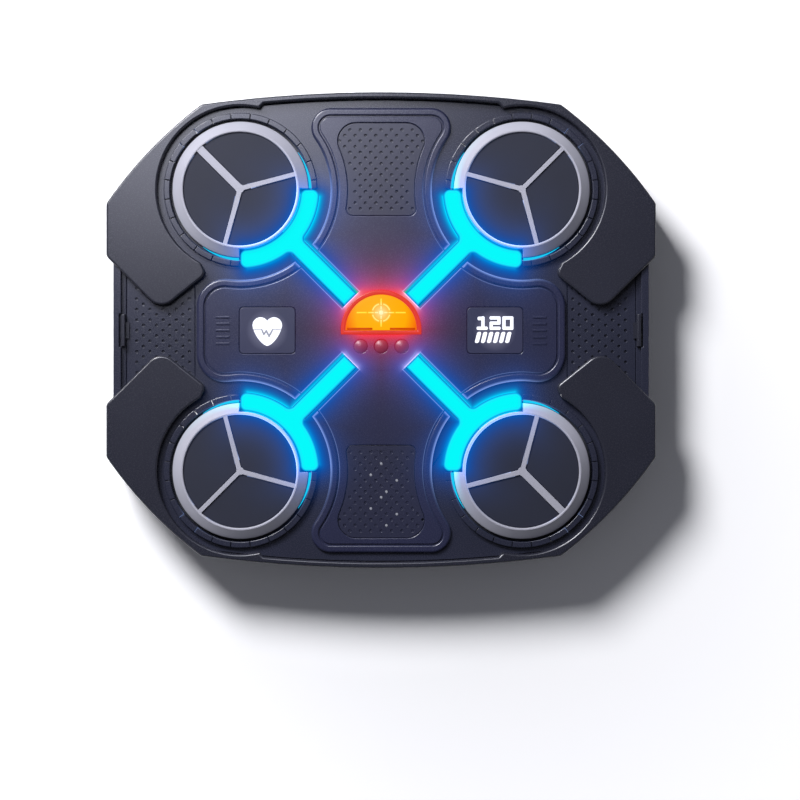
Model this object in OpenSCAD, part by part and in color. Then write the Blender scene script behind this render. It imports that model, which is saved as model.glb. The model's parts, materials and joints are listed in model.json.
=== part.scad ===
// Light-up music strike pad: four sprung pads on a crowned casing that lies on rubber feet or hangs on two
// wall screws. The face looks up along +Z, X runs to the right and Y runs to the top edge.

/* [Casing] */
// Width across the corner guards
overall_w = 390; // [386:1:400]
// Height across the crowned top and bottom edges
overall_h = 338; // [335:1:346]
// Radius of the crowned top and bottom edges
crown_r = 940; // [860:10:1100]
// Radius of the bowed corner flanks
flank_r = 300; // [260:10:380]
// Distance from the middle line to where the crowned edge meets the flank
shoulder_x = 127.5; // [125:0.5:130]
// Distance from the middle line to where the flank meets the side
shoulder_y = 90; // [87:1:94]
// Wall of both shells
wall_t = 2.5; // [2:0.1:3]
// Back wall of the rear cover
back_t = 2.5; // [2:0.1:3.5]
// Front floor of the front shell
floor_t = 3; // [2.5:0.1:3.6]
// Height of the parting line between the shells
parting_z = 16; // [15:0.5:18]
// Height of the front floor
floor_z = 36; // [35:0.5:40]
// Thickness of the tongue that locates the shells
tongue_t = 1.5; // [1.2:0.1:2]
// Height of the tongue
tongue_h = 3; // [2:0.5:4]
// Width of the side rails
rail_w = 5.5; // [4:0.1:6]
// Height of the side rails above the floor
rail_rise = 4; // [3:0.5:5]
// Reach of the side rails under the guards
rail_lap = 4; // [2:0.5:6]

/* [Bumpers] */
// Wall of the bumper around the casing
bumper_wall = 4.4; // [3.6:0.1:5]
// Height of the bumpers above the floor
bumper_rise = 7; // [6:0.5:8]
// Height at which the bumper skirt starts
skirt_z = 8; // [6:0.5:10]
// Guard tip, from the pad centre towards the side
tip_x = 56.6; // [55:0.1:58]
// Distance from the middle line to the guard tip
tip_y = 14; // [12:0.5:17]
// Guard heel, from the pad centre towards the side
heel_x = 24; // [22:0.5:26]
// Guard heel, from the pad centre towards the middle line
heel_y = 60; // [59:0.5:63]
// Rounding of the guard tip
tip_r = 12; // [6:1:14]
// Rounding of the other guard corners
guard_r = 5; // [2:0.5:7]
// Step from the guard to the thin rim, from the pad centre line
jog_x = 16.7; // [14:0.1:18]
// First guard screw, from the pad centre towards the middle line
guard_screw_y1 = 12; // [6:1:18]
// Second guard screw, from the pad centre towards the side
guard_screw_x2 = 48; // [44:1:52]
// Height of the lower guard screw above the tip of its guard
guard_screw_y2 = 26; // [22:1:29]

/* [Strike pads] */
// Spacing of the pads across the middle line
pad_pitch = 200; // [198:0.5:202]
// Distance from the crowned edge to the pad centres
pad_edge = 69; // [68:0.5:71]
// Radius of the dark strike face
face_r = 40; // [38:0.2:41]
// Width of the rim around the strike face
rim_w = 2; // [1.6:0.1:2.2]
// Outer radius of the strike ring
ring_r = 48.2; // [47:0.1:49]
// Height of the pad rim above the floor
pad_rise = 9.5; // [8.5:0.1:12]
// Height of the foot of the ring's bevel above the floor
bevel_rise = 4.8; // [4:0.1:6]
// Depth of the strike face below the rim
face_drop = 1.4; // [0.8:0.1:2]
// Width of the spoke that points to the object's corner
main_spoke_w = 4.6; // [3:0.1:5.4]
// Width of the other spokes
spoke_w = 3.2; // [2.6:0.1:4.4]
// Depth of the spokes
spoke_t = 4; // [3:0.2:5]
// Depth of the spokes below the rim
spoke_drop = 0.3; // [0.2:0.1:0.6]
// Radius of the hub where the spokes meet
hub_r = 3; // [2.6:0.1:4]
// Chamfer of the rim
rim_c = 0.5; // [0.2:0.1:0.7]
// Chamfer at the foot of the ring's bevel
bevel_c = 0.6; // [0.3:0.1:1]
// Strike travel
pad_travel = 3; // [2:0.1:4]
// Gap around the moving ring
well_gap = 1.8; // [1.6:0.1:2.2]
// Reach of the carrier's flange past the well
flange_w = 3; // [2:0.1:3.4]
// Thickness of the carrier's flange
flange_t = 2.8; // [2:0.1:3.4]
// Wall of the sleeve that guides the flange
sleeve_t = 2; // [1.5:0.1:2.2]
// Length of the sleeve past the flange's travel
sleeve_over = 2; // [1:0.5:3]
// Radius of the plunger under the carrier
plunger_r = 7; // [5:0.5:9]
// Inner radius of the foam return ring
foam_in_r = 22; // [19:0.5:24]
// Outer radius of the foam return ring
foam_out_r = 30; // [27:0.5:33]
// Height of the foam's seat above the back wall
seat_h = 9.5; // [9:0.5:10.5]
// Width of the foam's seat past the foam
seat_rim = 0.5; // [0.3:0.1:1]

/* [Segment rings] */
// Width of the segmented band
segment_w = 4.3; // [3.6:0.1:4.6]
// Width of the lower ledge around it
ledge_w = 1.6; // [1:0.1:1.8]
// Height of the band above the floor
segment_rise = 3.4; // [2.6:0.1:4]
// Drop from the band to the ledge
ledge_drop = 1; // [0.6:0.1:1.6]
// Segments in a full turn
segment_count = 24; // [12:12:36]
// Width of the cut between segments
tick_w = 0.6; // [0.4:0.1:1]
// Chamfer of the segments
segment_c = 0.4; // [0.2:0.1:0.6]
// Groove between the ledge and the guard
groove_w = 2.8; // [2.4:0.1:3.4]

/* [Light guides] */
// Width of the light bar
bar_w = 12; // [10:0.2:13]
// Distance from the middle to the end of the bar
bar_start = 31; // [30.6:0.2:34]
// Distance from the bar's end to its foot in the floor
bar_foot = 4; // [3:0.5:6]
// Rounding of the bar's inner corners
bar_corner_r = 1; // [0.5:0.1:2]
// Rounding where the bar meets the arc
branch_r = 4; // [2:0.5:5]
// Inner radius of the light arc
arc_in_r = 42.9; // [42.7:0.1:43.2]
// Outer radius of the light arc
arc_out_r = 56; // [54.5:0.1:56.2]
// Half angle of the light arc
arc_half = 44.5; // [40:0.5:48]
// Rounding of the light arc's ends
arc_end_r = 3; // [1:0.5:4]
// Angle left free beside the light arc
arc_gap = 1.5; // [1:0.1:2.5]
// Half angle of the thin tails along the ring
tail_half = 78; // [60:1:84]
// Width of the tails
tail_w = 1; // [0.8:0.1:1.2]
// Height of the light guide above the floor
guide_rise = 4.5; // [4:0.1:5]
// Height of the tails above the floor
tail_rise = 4; // [2:0.1:4]
// Gap between the light bar and the face plate
slot_gap = 2.6; // [1.6:0.1:3]

/* [Face plate] */
// Width of the cross
cross_w = 262.6; // [256:0.2:266]
// Distance from the crowned edge to the cross
cross_edge = 10.7; // [9.4:0.1:14]
// Corner radius of the top and bottom arms
arm_r = 14; // [10:0.5:16]
// Corner radius of the side arms
side_r = 20; // [16:0.5:22]
// Floor left bare between the guard circle and the cross
bare_w = 5; // [4:0.1:6]
// Thickness of the panel
panel_t = 2.2; // [2:0.1:2.8]
// Width of the ridge
ridge_w = 5.4; // [4:0.1:6]
// Height of the ridge above the panel
ridge_rise = 0.6; // [0.3:0.1:1]
// Width of the groove inside the ridge
inlay_w = 0.9; // [0.6:0.1:1.2]
// Depth of that groove
inlay_depth = 0.9; // [0.5:0.1:1.2]
// Number of ribs beside a display window
rib_count = 5; // [3:1:6]
// Pitch of the ribs
rib_pitch = 4.7; // [4:0.1:5]
// Length of the ribs
rib_l = 9.8; // [8:0.2:11]
// Width of the ribs
rib_w = 1.6; // [1:0.1:2]
// Height of the ribs
rib_rise = 0.6; // [0.3:0.1:1]
// Distance from the middle to the ribs
rib_x = 112.7; // [112:0.1:114]

/* [Perforated panels] */
// Inner edge of the panels, from the middle line
panel_y0 = 81.6; // [80:0.2:84]
// Distance from the cross's edge to the panels
panel_edge = 10.5; // [9.4:0.1:14]
// Margin between the waisted side of the cross and of the panel
panel_margin = 12.2; // [11:0.1:13]
// Outer corner radius of the panels
panel_r1 = 13; // [9:0.5:14]
// Inner corner radius of the panels
panel_r0 = 5; // [3:0.5:7]
// Thickness of the panels
insert_t = 1.4; // [1:0.1:1.8]
// Diameter of the holes
hole_d = 2; // [1.6:0.1:2.2]
// Pitch of the holes along a row
hole_pitch_x = 7.4; // [6.8:0.1:8.4]
// Pitch of the rows that line up
hole_pitch_y = 8; // [7.6:0.1:9]
// Plain margin around the holes
hole_margin = 2.4; // [1.8:0.1:4]

/* [Speaker grilles] */
// Inner edge of the grilles, from the middle line
grille_x0 = 132.5; // [132:0.5:136]
// Gap between the grille and the side rail
grille_rail_gap = 3.3; // [3:0.1:5]
// Reach of the grille under the guard
grille_cover = 6; // [4:0.5:8]
// Thickness of the grilles
grille_t = 2; // [1.6:0.1:2.2]
// Width of the ledge that carries them
grille_ledge = 2; // [1.6:0.1:2.4]
// Thickness of that ledge below the floor
ledge_t = 1.5; // [1.5:0.1:2.5]
// Pitch of the grille columns that line up
grille_pitch_x = 9.4; // [8.6:0.1:10.4]
// Pitch of the grille holes along a column
grille_pitch_y = 7.5; // [7:0.1:8.5]
// Radius of the speakers
speaker_r = 20; // [17:0.5:22]
// Depth of the speakers
speaker_d = 14; // [12:0.5:16]
// Radius of the speaker's magnet
magnet_r = 11; // [8:0.5:12]
// Thickness of the speaker's magnet
magnet_t = 5; // [4:0.5:6]
// Radius of the speaker's basket at the magnet
basket_r = 13; // [12:0.5:15]
// Thickness of the speaker's rim
speaker_rim_t = 1.8; // [1.2:0.1:2.4]
// Width of the speaker's rim
speaker_rim_w = 2.5; // [1.5:0.1:3]
// Depth of the speaker's cone
cone_d = 5; // [4:0.5:6]
// Radius of the speaker's dust cap
cap_r = 9; // [6:0.5:10]
// Depth of the dust cap's crown below the rim
cap_d = 3.5; // [2:0.5:4.5]
// Length of the grille clips
clip_l = 23; // [16:0.5:28]
// Width of the grille clips
clip_w = 3; // [2.5:0.1:3.2]
// Height of the grille clips above the floor
clip_rise = 5; // [4:0.1:6]
// Overhang of the clips on the grille
clip_toe = 2.4; // [1.5:0.1:3]
// Length of the clip's toe
toe_l = 11.5; // [8:0.5:14]
// Thickness of the clip's toe
toe_t = 1.7; // [1.2:0.1:2.4]
// Depth of the recess in the rail behind a clip
clip_recess = 1.4; // [0.6:0.1:2]

/* [Target lens and buttons] */
// Radius of the round centre module
module_r = 29; // [27:0.2:29.4]
// Width of the red bezel
bezel_w = 3.1; // [2.4:0.1:3.6]
// Height of the bezel above the floor
bezel_rise = 3.2; // [2.8:0.1:4]
// Height of the lens above the floor
lens_rise = 4.6; // [4.2:0.1:6]
// Radius of the lens crown
lens_crown_r = 200; // [150:10:300]
// Height of the bezel's flat edge below the middle line
bezel_flat = 2.8; // [2:0.1:3.2]
// Radius of the buttons
button_r = 4.7; // [4:0.1:5]
// Pitch of the buttons
button_pitch = 14.6; // [14:0.1:15.4]
// Distance from the middle line to the buttons
button_y = 11.3; // [10.8:0.1:13]
// Height of the buttons above the floor
button_rise = 4; // [3.4:0.1:5]
// Button travel
button_travel = 0.8; // [0.4:0.1:1]
// Radius of the button dome
button_crown_r = 8; // [6.5:0.5:14]
// Width of the button's flange
button_flange_w = 1.1; // [0.8:0.1:1.3]
// Thickness of the button's flange
button_flange_t = 1.2; // [0.8:0.1:1.6]
// Radius of the button's stem
stem_r = 2.2; // [1.6:0.1:3]

/* [Display windows] */
// Width of the windows
window_w = 40.2; // [36:0.2:41]
// Height of the windows
window_h = 33.4; // [30:0.2:35]
// Distance from the middle to the windows
window_x = 81; // [80.5:0.1:81.5]
// Corner radius of the windows
window_r = 3; // [1.5:0.5:4]
// Width of the ledge under the windows
window_ledge = 2.4; // [1.6:0.1:3]

/* [Electronics] */
// Thickness of the circuit boards
board_t = 1.6; // [1:0.2:2]
// Height of the LED chips
chip_t = 0.8; // [0.6:0.1:1]
// Width of the LED chips
chip_w = 3.5; // [2.5:0.1:4]
// Length of the LED chips
chip_l = 3; // [2.5:0.1:4]
// Pitch of the LED chips under a light bar
led_pitch = 9; // [7:0.5:10]
// Number of LED chips under a light bar
led_count = 4; // [2:1:4]
// Margin of the front boards around what they light
board_margin = 4; // [3:0.5:5]
// Radius of the posts that hold the front boards
front_post_r = 2; // [1.6:0.1:2.2]
// Distance of the front boards below the floor
board_drop = 5.4; // [5:0.1:6]
// Width of the control board
control_w = 56; // [54:1:58]
// Height of the control board above the middle line
control_up = 24; // [18:1:26]
// Height of the control board below the middle line
control_down = 20; // [18:1:24]
// Inset of the control board's posts from its sides
control_inset = 3; // [2.5:0.1:3.4]
// Height of the control board's upper posts
control_post_up = 8; // [6:0.5:10]
// Distance of the control board's lower posts below the middle line
control_post_down = 6; // [4:0.5:6]
// Height of the LED row behind the lens
lens_led_y = 9.5; // [8:0.5:14]
// Pitch of the LED chips behind the lens and the windows
lens_led_pitch = 12; // [8:0.5:13]
// Distance from the middle line to the LED rows behind the windows
window_led_y = 7; // [5:0.5:10]
// Width of the push switches
switch_w = 6; // [5:0.5:6.5]
// Height of the push switches with their caps
switch_h = 3; // [2.6:0.1:3.4]
// Radius of the caps of the push switches
switch_cap_r = 1.7; // [1.2:0.1:2]
// Height of the caps of the push switches
switch_cap_t = 0.4; // [0.3:0.1:0.6]
// Distance from a window to its board's posts
window_post_gap = 1.5; // [1:0.1:1.8]
// Inset of the window boards' posts from their ends
window_post_inset = 4; // [3:0.5:8]
// Width of the pin light board
pin_board_w = 52; // [50:1:54]
// Distance from the panel's edges to the pin light board
pin_board_edge = 7; // [6:0.5:9]
// Inset of the posts of the pin light and main boards
post_inset = 4; // [3:0.5:5]
// Height of the impact switch boards above the back wall
sensor_h = 2; // [1.5:0.1:2.5]
// Width of the shelf that carries an impact switch board
sensor_shelf = 7; // [5:0.5:9]
// Width of the impact switches
sensor_w = 6; // [4:0.5:7]
// Height of the impact switches
sensor_t = 1.2; // [0.8:0.1:1.6]
// Width of the main board
main_w = 70; // [60:1:72]
// Height of the main board
main_h = 50; // [42:1:54]
// Distance from the lower cover screw to the main board's middle
main_y = 44; // [41:1:49]
// Height of the main board above the back wall
main_rise = 4.5; // [3:0.5:6]
// Radius of the main board's posts
rear_post_r = 2.5; // [2:0.1:3]
// Number of cable sockets on the main board
socket_count = 4; // [2:1:4]
// Pitch of the cable sockets
socket_pitch = 12; // [10:0.5:14]
// Width of a cable socket
socket_w = 8; // [6:0.5:9]
// Depth of a cable socket
socket_d = 4.5; // [4:0.5:6]
// Height of a cable socket
socket_h = 5; // [4:0.5:6]
// Width of the battery pack
battery_w = 64; // [50:1:68]
// Height of the battery pack
battery_h = 40; // [34:1:44]
// Thickness of the battery pack
battery_t = 10; // [8:0.5:12]
// Corner radius of the battery pack
battery_r = 3; // [1:0.5:5]
// Distance from the upper cover screw to the battery pack's middle
battery_y = 37; // [35:1:41]
// Width of the charging port
port_w = 8.9; // [8.6:0.1:9.4]
// Height of the charging port
port_h = 3.2; // [3:0.1:3.4]
// Depth of the charging port
port_d = 7.4; // [6:0.1:9]
// Wall of the charging port
port_t = 0.4; // [0.3:0.1:0.5]
// Distance from the middle line to the charging port
port_y = 22; // [18:0.5:24]
// Wall at the back of the charging port
port_back = 1; // [0.6:0.1:1.4]
// Thickness of the charging port's tongue
port_tongue_t = 0.7; // [0.5:0.1:0.9]
// Width of the charging port's tongue
port_tongue_w = 5.9; // [5:0.1:6.2]
// Length of the charging board
port_board_l = 16; // [14:0.5:18]
// Width of the charging board
port_board_w = 14; // [12:0.5:16]
// Height of the charging board above the back wall
port_board_rise = 1.5; // [1:0.1:2]
// Width of the shelf under the charging board
port_shelf_w = 10; // [8:0.5:12]

/* [Fasteners, feet and keyholes] */
// Radius of the screw shanks
screw_r = 1.5; // [1.2:0.1:1.6]
// Radius of the screw heads
head_r = 2.9; // [2.5:0.1:3]
// Height of the screw heads
head_t = 1.8; // [1.4:0.1:2.2]
// Thread length in the far piece
thread_l = 5; // [4:0.5:5.5]
// Radius of the screw bosses
boss_r = 5; // [4.6:0.1:6]
// Height of the rear bosses above the back wall
boss_h = 2.5; // [2:0.1:4]
// Radius of the front bosses
front_boss_r = 4; // [3.5:0.1:4.6]
// Depth of the pilot holes past the thread
pilot_over = 2; // [1:0.5:3]
// Distance of the outer cover screws from the casing's edge
screw_edge = 15.3; // [14:0.1:18]
// Distance from the middle line to the side cover screws
side_screw_y = 62; // [60:1:66]
// Distance from the middle to the inner cover screws
mid_screw_x = 45; // [42:0.5:48]
// Radius of the rubber feet
foot_r = 9; // [6:0.5:12]
// Height of the rubber feet
foot_h = 2; // [1.5:0.1:4]
// Distance from the middle line to the feet along X
foot_x = 140; // [130:1:146]
// Distance from the middle line to the feet along Y
foot_y = 112; // [100:1:116]
// Spacing of the keyholes
keyhole_pitch = 120; // [110:1:126]
// Height of the keyhole entries above the middle line
keyhole_y = 50; // [46:1:54]
// Radius of the keyhole entry
keyhole_r = 4.5; // [4:0.1:5]
// Width of the keyhole slot
keyhole_slot = 4.6; // [4:0.1:5]
// Length of the keyhole slot
keyhole_l = 11; // [9:0.5:12]

/* [Hidden] */
$fa = 3;
$fs = 0.5;
fit = 0.3; // clearance between pieces that are assembled
slide = 0.4; // clearance around pieces that move
seat_gap = 0.2; // gap at a stop
eps = 0.1; // overshoot of a cut past a face
room = 1; // space beside pieces that don't touch
thread_gap = 0.05; // clearance of a thread in its pilot hole
chord_tol = 0.03; // deviation of an outline's straight steps from the true curve
small = 16; // facets of the perforations
medium = 60; // facets of small round pieces
fine = 180; // facets of round pieces
huge = 1440; // facets of the crowned and bowed edges

// Heights
inner_z = foot_h + back_t;
under_z = floor_z - floor_t;
boss_z = inner_z + boss_h;
board_z = under_z - board_drop;
rim_z = floor_z + pad_rise;
face_z = rim_z - face_drop;
spoke_top = rim_z - spoke_drop;
spoke_z = spoke_top - spoke_t;
flange_z = under_z - seat_gap - flange_t;
seat_z = inner_z + seat_h;

// Plan sizes
body_inset = bumper_wall + fit;
body_x = overall_w / 2 - body_inset;
pad_x = pad_pitch / 2;
pad_y = overall_h / 2 - pad_edge;
pad_right = [pad_x, pad_y];
pad_d = norm(pad_right);
rim_r = face_r + seat_gap + rim_w;
well_r = ring_r + well_gap;
band_r = well_r + fit;
guard_circle_r = band_r + segment_w + ledge_w + groove_w;
cross_r = guard_circle_r + bare_w;
panel_r = cross_r + panel_margin;
flange_r = well_r + flange_w;
sleeve_r = flange_r + slide;
bar_end = pad_d - sleeve_r - sleeve_t - room;
bar_half = bar_w / 2;
bar_mid = (bar_start + bar_foot + bar_end) / 2;
LED_POINTS = [for (i = [0 : led_count - 1]) bar_mid + (i - (led_count - 1) / 2) * led_pitch];
screw_hole_r = screw_r + seat_gap;
pilot_r = screw_r + thread_gap;
side_screw_x = body_x - screw_edge;
arm_screw_y = overall_h / 2 - body_inset - screw_edge;

// Signs of the four quadrants, in the order top left, top right, bottom left, bottom right
QUADS = [[-1, 1], [1, 1], [-1, -1], [1, -1]];
SIDES = [-1, 1];
function pad_at(q, z) = [q.x * pad_x, q.y * pad_y, z];
function pad_angle(q) = atan2(q.y * pad_y, q.x * pad_x);

// Casing screws, bumper screws and the cells of the pin lights, in half pitches across and down from the middle hole
COVER_SCREWS = concat(
    [for (q = QUADS) [q.x * side_screw_x, q.y * side_screw_y]],
    [for (s = SIDES) each [[0, s * arm_screw_y], [s * mid_screw_x, 0]]]
);
GUARD_SCREWS = [
    [(pad_x + guard_circle_r + body_x - wall_t) / 2, pad_y - guard_screw_y1],
    [pad_x + guard_screw_x2, tip_y + guard_screw_y2]
];
LIT_CELLS = [[0, -5], [-2, -3], [3, -2], [1, 0], [0, 1], [-2, 3], [3, 4], [1, 6]];

function unit(v) = v / norm(v);
function flip_x(p) = [-p.x, p.y];
function reversed(list) = [for (i = [len(list) - 1 : -1 : 0]) list[i]];

// Points along an arc, close enough together to stay within the chord tolerance
function arc(c, r, a0, a1) =
    let (n = ceil(abs(a1 - a0) / (2 * acos(1 - chord_tol / r))))
    [for (i = [0 : n]) let (a = a0 + (a1 - a0) * i / n) c + r * [cos(a), sin(a)]];

function angle_of(v) = atan2(v.y, v.x);

// Arc around c, the short way from the direction u to the direction v
function arc_between(c, r, u, v) =
    let (a0 = angle_of(u), sweep = (angle_of(v) - a0 + 540) % 360 - 180)
    arc(c, r, a0, a0 + sweep);

// Fillet of radius r at b, on the path a, b, c
function corner(a, b, c, r) =
    r <= 0 ? [b] :
    let (
        u = unit(a - b),
        v = unit(c - b),
        half = acos(u * v) / 2,
        o = b + unit(u + v) * r / sin(half)
    ) arc_between(o, r, b + u * r / tan(half) - o, b + v * r / tan(half) - o);

// Closed outline from a list of [point, fillet radius]
function rounded(path) =
    let (n = len(path))
    [for (i = [0 : n - 1]) each corner(path[(i + n - 1) % n][0], path[i][0], path[(i + 1) % n][0], path[i][1])];

function sharp(points) = [for (p = points) [p, 0]];

// Outline moved inwards by d, for a counter-clockwise outline
function inset_points(pts, d) =
    let (n = len(pts))
    [for (i = [0 : n - 1])
        let (
            u = unit(pts[i] - pts[(i + n - 1) % n]),
            v = unit(pts[(i + 1) % n] - pts[i]),
            a = [-u.y, u.x],
            b = [-v.y, v.x]
        ) pts[i] + (a + b) * d / (1 + a * b)];

// Crowned and bowed edges
crown_c = [0, overall_h / 2 - crown_r];
shoulder_top = [shoulder_x, crown_c.y + sqrt(crown_r ^ 2 - shoulder_x ^ 2)];
shoulder_side = [overall_w / 2, shoulder_y];
flank_chord = shoulder_side - shoulder_top;
flank_c = (shoulder_top + shoulder_side) / 2
    + unit([flank_chord.y, -flank_chord.x]) * sqrt(flank_r ^ 2 - (norm(flank_chord) / 2) ^ 2);

// Guard corners, on the right of the top bumper
guard_tip = [pad_x + tip_x, tip_y];
guard_heel = pad_right + [heel_x, -heel_y];
guard_side = [overall_w / 2, guard_tip.y + overall_w / 2 - guard_tip.x];
heel_slope = (guard_heel.y - guard_tip.y) / (guard_tip.x - guard_heel.x);
rail_half = guard_side.y + rail_lap;

// Angles by which the arcs stop short of a rounded corner
crown_trim = 0.5;
flank_trim = 1.5;
heel_trim = 7;
jog_trim = 3.5;

// Outline of the whole object, moved inwards by inset
module outline_2d(inset = 0) {
    intersection() {
        square([overall_w - 2 * inset, overall_h], center = true);
        intersection_for (s = SIDES)
            translate(s * crown_c) circle(crown_r - inset, $fn = huge);
        intersection_for (q = QUADS)
            translate([q.x * flank_c.x, q.y * flank_c.y]) circle(flank_r - inset, $fn = huge);
    }
}

// Right half of the bumper's outer edge, from the crown of the edge to the end of the guard's side
BUMPER_OUTER = concat(
    sharp(arc(crown_c, crown_r, 90, angle_of(shoulder_top - crown_c) + crown_trim)),
    [[shoulder_top, guard_r]],
    sharp(arc(flank_c, flank_r,
        angle_of(shoulder_top - flank_c) - flank_trim, angle_of(shoulder_side - flank_c) + flank_trim)),
    [[shoulder_side, guard_r], [guard_side, guard_r]]
);

// Inner edge of the thin rim, from the step beside the guard to the crown of the edge
rim_edge_r = crown_r - bumper_wall;
rim_edge_a = acos((pad_x - jog_x) / rim_edge_r);
RIM_INNER = sharp(arc(crown_c, rim_edge_r, rim_edge_a, 90));

// Corners of the skirt's inner face
skirt_x = overall_w / 2 - bumper_wall;
skirt_foot = guard_side - [bumper_wall, bumper_wall];
skirt_side = [skirt_x, flank_c.y + sqrt((flank_r - bumper_wall) ^ 2 - (skirt_x - flank_c.x) ^ 2)];
shoulder_in = unit(crown_c - shoulder_top) + unit(flank_c - shoulder_top);
skirt_top = shoulder_top + shoulder_in * 2 * bumper_wall / (shoulder_in * shoulder_in);

// Outline from its right half, which starts and ends on the middle line
module mirrored_2d(path) {
    half = rounded(path);
    polygon(concat(half, reversed([for (p = half) if (p.x > 0.001) flip_x(p)])));
}

// Plan of the top bumper: two corner guards joined by the thin crowned rim
module bumper_2d() {
    mirrored_2d(concat(
        BUMPER_OUTER,
        [[guard_tip, tip_r], [guard_heel, guard_r]],
        sharp(arc(pad_right, guard_circle_r,
            angle_of(guard_heel - pad_right) + heel_trim, acos(-jog_x / guard_circle_r) - jog_trim)),
        RIM_INNER
    ));
}

// Plan of the bumper's skirt, one wall thick
module skirt_2d() {
    mirrored_2d(concat(
        BUMPER_OUTER,
        sharp([skirt_foot, skirt_side]),
        sharp(arc(flank_c, flank_r - bumper_wall,
            angle_of(skirt_side - flank_c) + flank_trim, angle_of(skirt_top - flank_c) - flank_trim)),
        sharp([skirt_top]),
        sharp(arc(crown_c, rim_edge_r,
            angle_of(skirt_top - crown_c) + crown_trim, rim_edge_a - crown_trim)),
        RIM_INNER
    ));
}

// One bumper with its skirt; it slides over the casing and is screwed on from inside
module top_bumper_shape() {
    difference() {
        union() {
            translate([0, 0, floor_z]) linear_extrude(bumper_rise) bumper_2d();
            translate([0, 0, skirt_z]) linear_extrude(floor_z - skirt_z) skirt_2d();
        }
        for (s = SIDES) {
            translate([s * (body_x - rail_w / 2), 0, floor_z])
                cube([rail_w + 2 * fit, 2 * (rail_half + fit), 2 * (rail_rise + fit)], center = true);
            for (p = GUARD_SCREWS)
                translate([s * p.x, p.y, floor_z - eps]) cylinder(h = thread_l + eps, r = pilot_r);
        }
    }
}

module top_bumper() { color("#3b3c46") top_bumper_shape(); }
module bottom_bumper() { color("#3b3c46") mirror([0, 1, 0]) top_bumper_shape(); }

// Hole that a keyhole screw enters and hangs in
module keyhole() {
    cylinder(h = back_t + 2 * eps, r = keyhole_r);
    translate([-keyhole_slot / 2, 0, 0]) cube([keyhole_slot, keyhole_l, back_t + 2 * eps]);
    translate([0, keyhole_l, 0]) cylinder(h = back_t + 2 * eps, r = keyhole_slot / 2);
}

module rear_cover() {
    tongue_inset = body_inset + wall_t + seat_gap;
    color("#26272d") difference() {
        union() {
            translate([0, 0, foot_h]) linear_extrude(back_t) outline_2d(body_inset);
            translate([0, 0, inner_z]) linear_extrude(parting_z - inner_z) difference() {
                outline_2d(body_inset);
                outline_2d(tongue_inset + tongue_t);
            }
            translate([0, 0, parting_z]) linear_extrude(tongue_h) difference() {
                outline_2d(tongue_inset);
                outline_2d(tongue_inset + tongue_t);
            }
            for (p = COVER_SCREWS)
                translate([p.x, p.y, inner_z]) cylinder(h = boss_h, r = boss_r);
            for (q = QUADS)
                translate(pad_at(q, inner_z))
                    cylinder(h = seat_h, r = foam_out_r + seat_rim, $fn = fine);
            for (p = MAIN_POSTS)
                translate([p.x, p.y, inner_z]) cylinder(h = main_rise, r = rear_post_r);
            translate([port_x - port_board_l, -port_y - port_shelf_w / 2, inner_z])
                cube([port_board_l, port_shelf_w, port_board_rise]);
        }
        for (p = COVER_SCREWS)
            translate([p.x, p.y, foot_h - eps]) {
                cylinder(h = back_t + boss_h + 2 * eps, r = screw_hole_r);
                cylinder(h = back_t + eps, r = head_r + fit);
            }
        for (q = QUADS)
            translate(pad_at(q, inner_z)) {
                translate([0, 0, sensor_h]) cylinder(h = seat_h, r = sensor_bore_r, $fn = fine);
                cylinder(h = seat_h, r = sensor_bore_r - sensor_shelf, $fn = fine);
            }
        for (s = SIDES)
            translate([s * keyhole_pitch / 2, keyhole_y, foot_h - eps]) keyhole();
        translate([port_x, -port_y, port_z])
            rotate([90, 0, 90]) linear_extrude(body_x - port_x + room) port_2d(-seat_gap);
    }
}

// Carrier of each pad hangs by its flange under the floor, inside a guiding sleeve
module pad_sleeves() {
    for (q = QUADS)
        translate(pad_at(q, flange_z - pad_travel - sleeve_over))
            linear_extrude(under_z - flange_z + pad_travel + sleeve_over) difference() {
                circle(sleeve_r + sleeve_t, $fn = fine);
                circle(sleeve_r, $fn = fine);
            }
}

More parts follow.
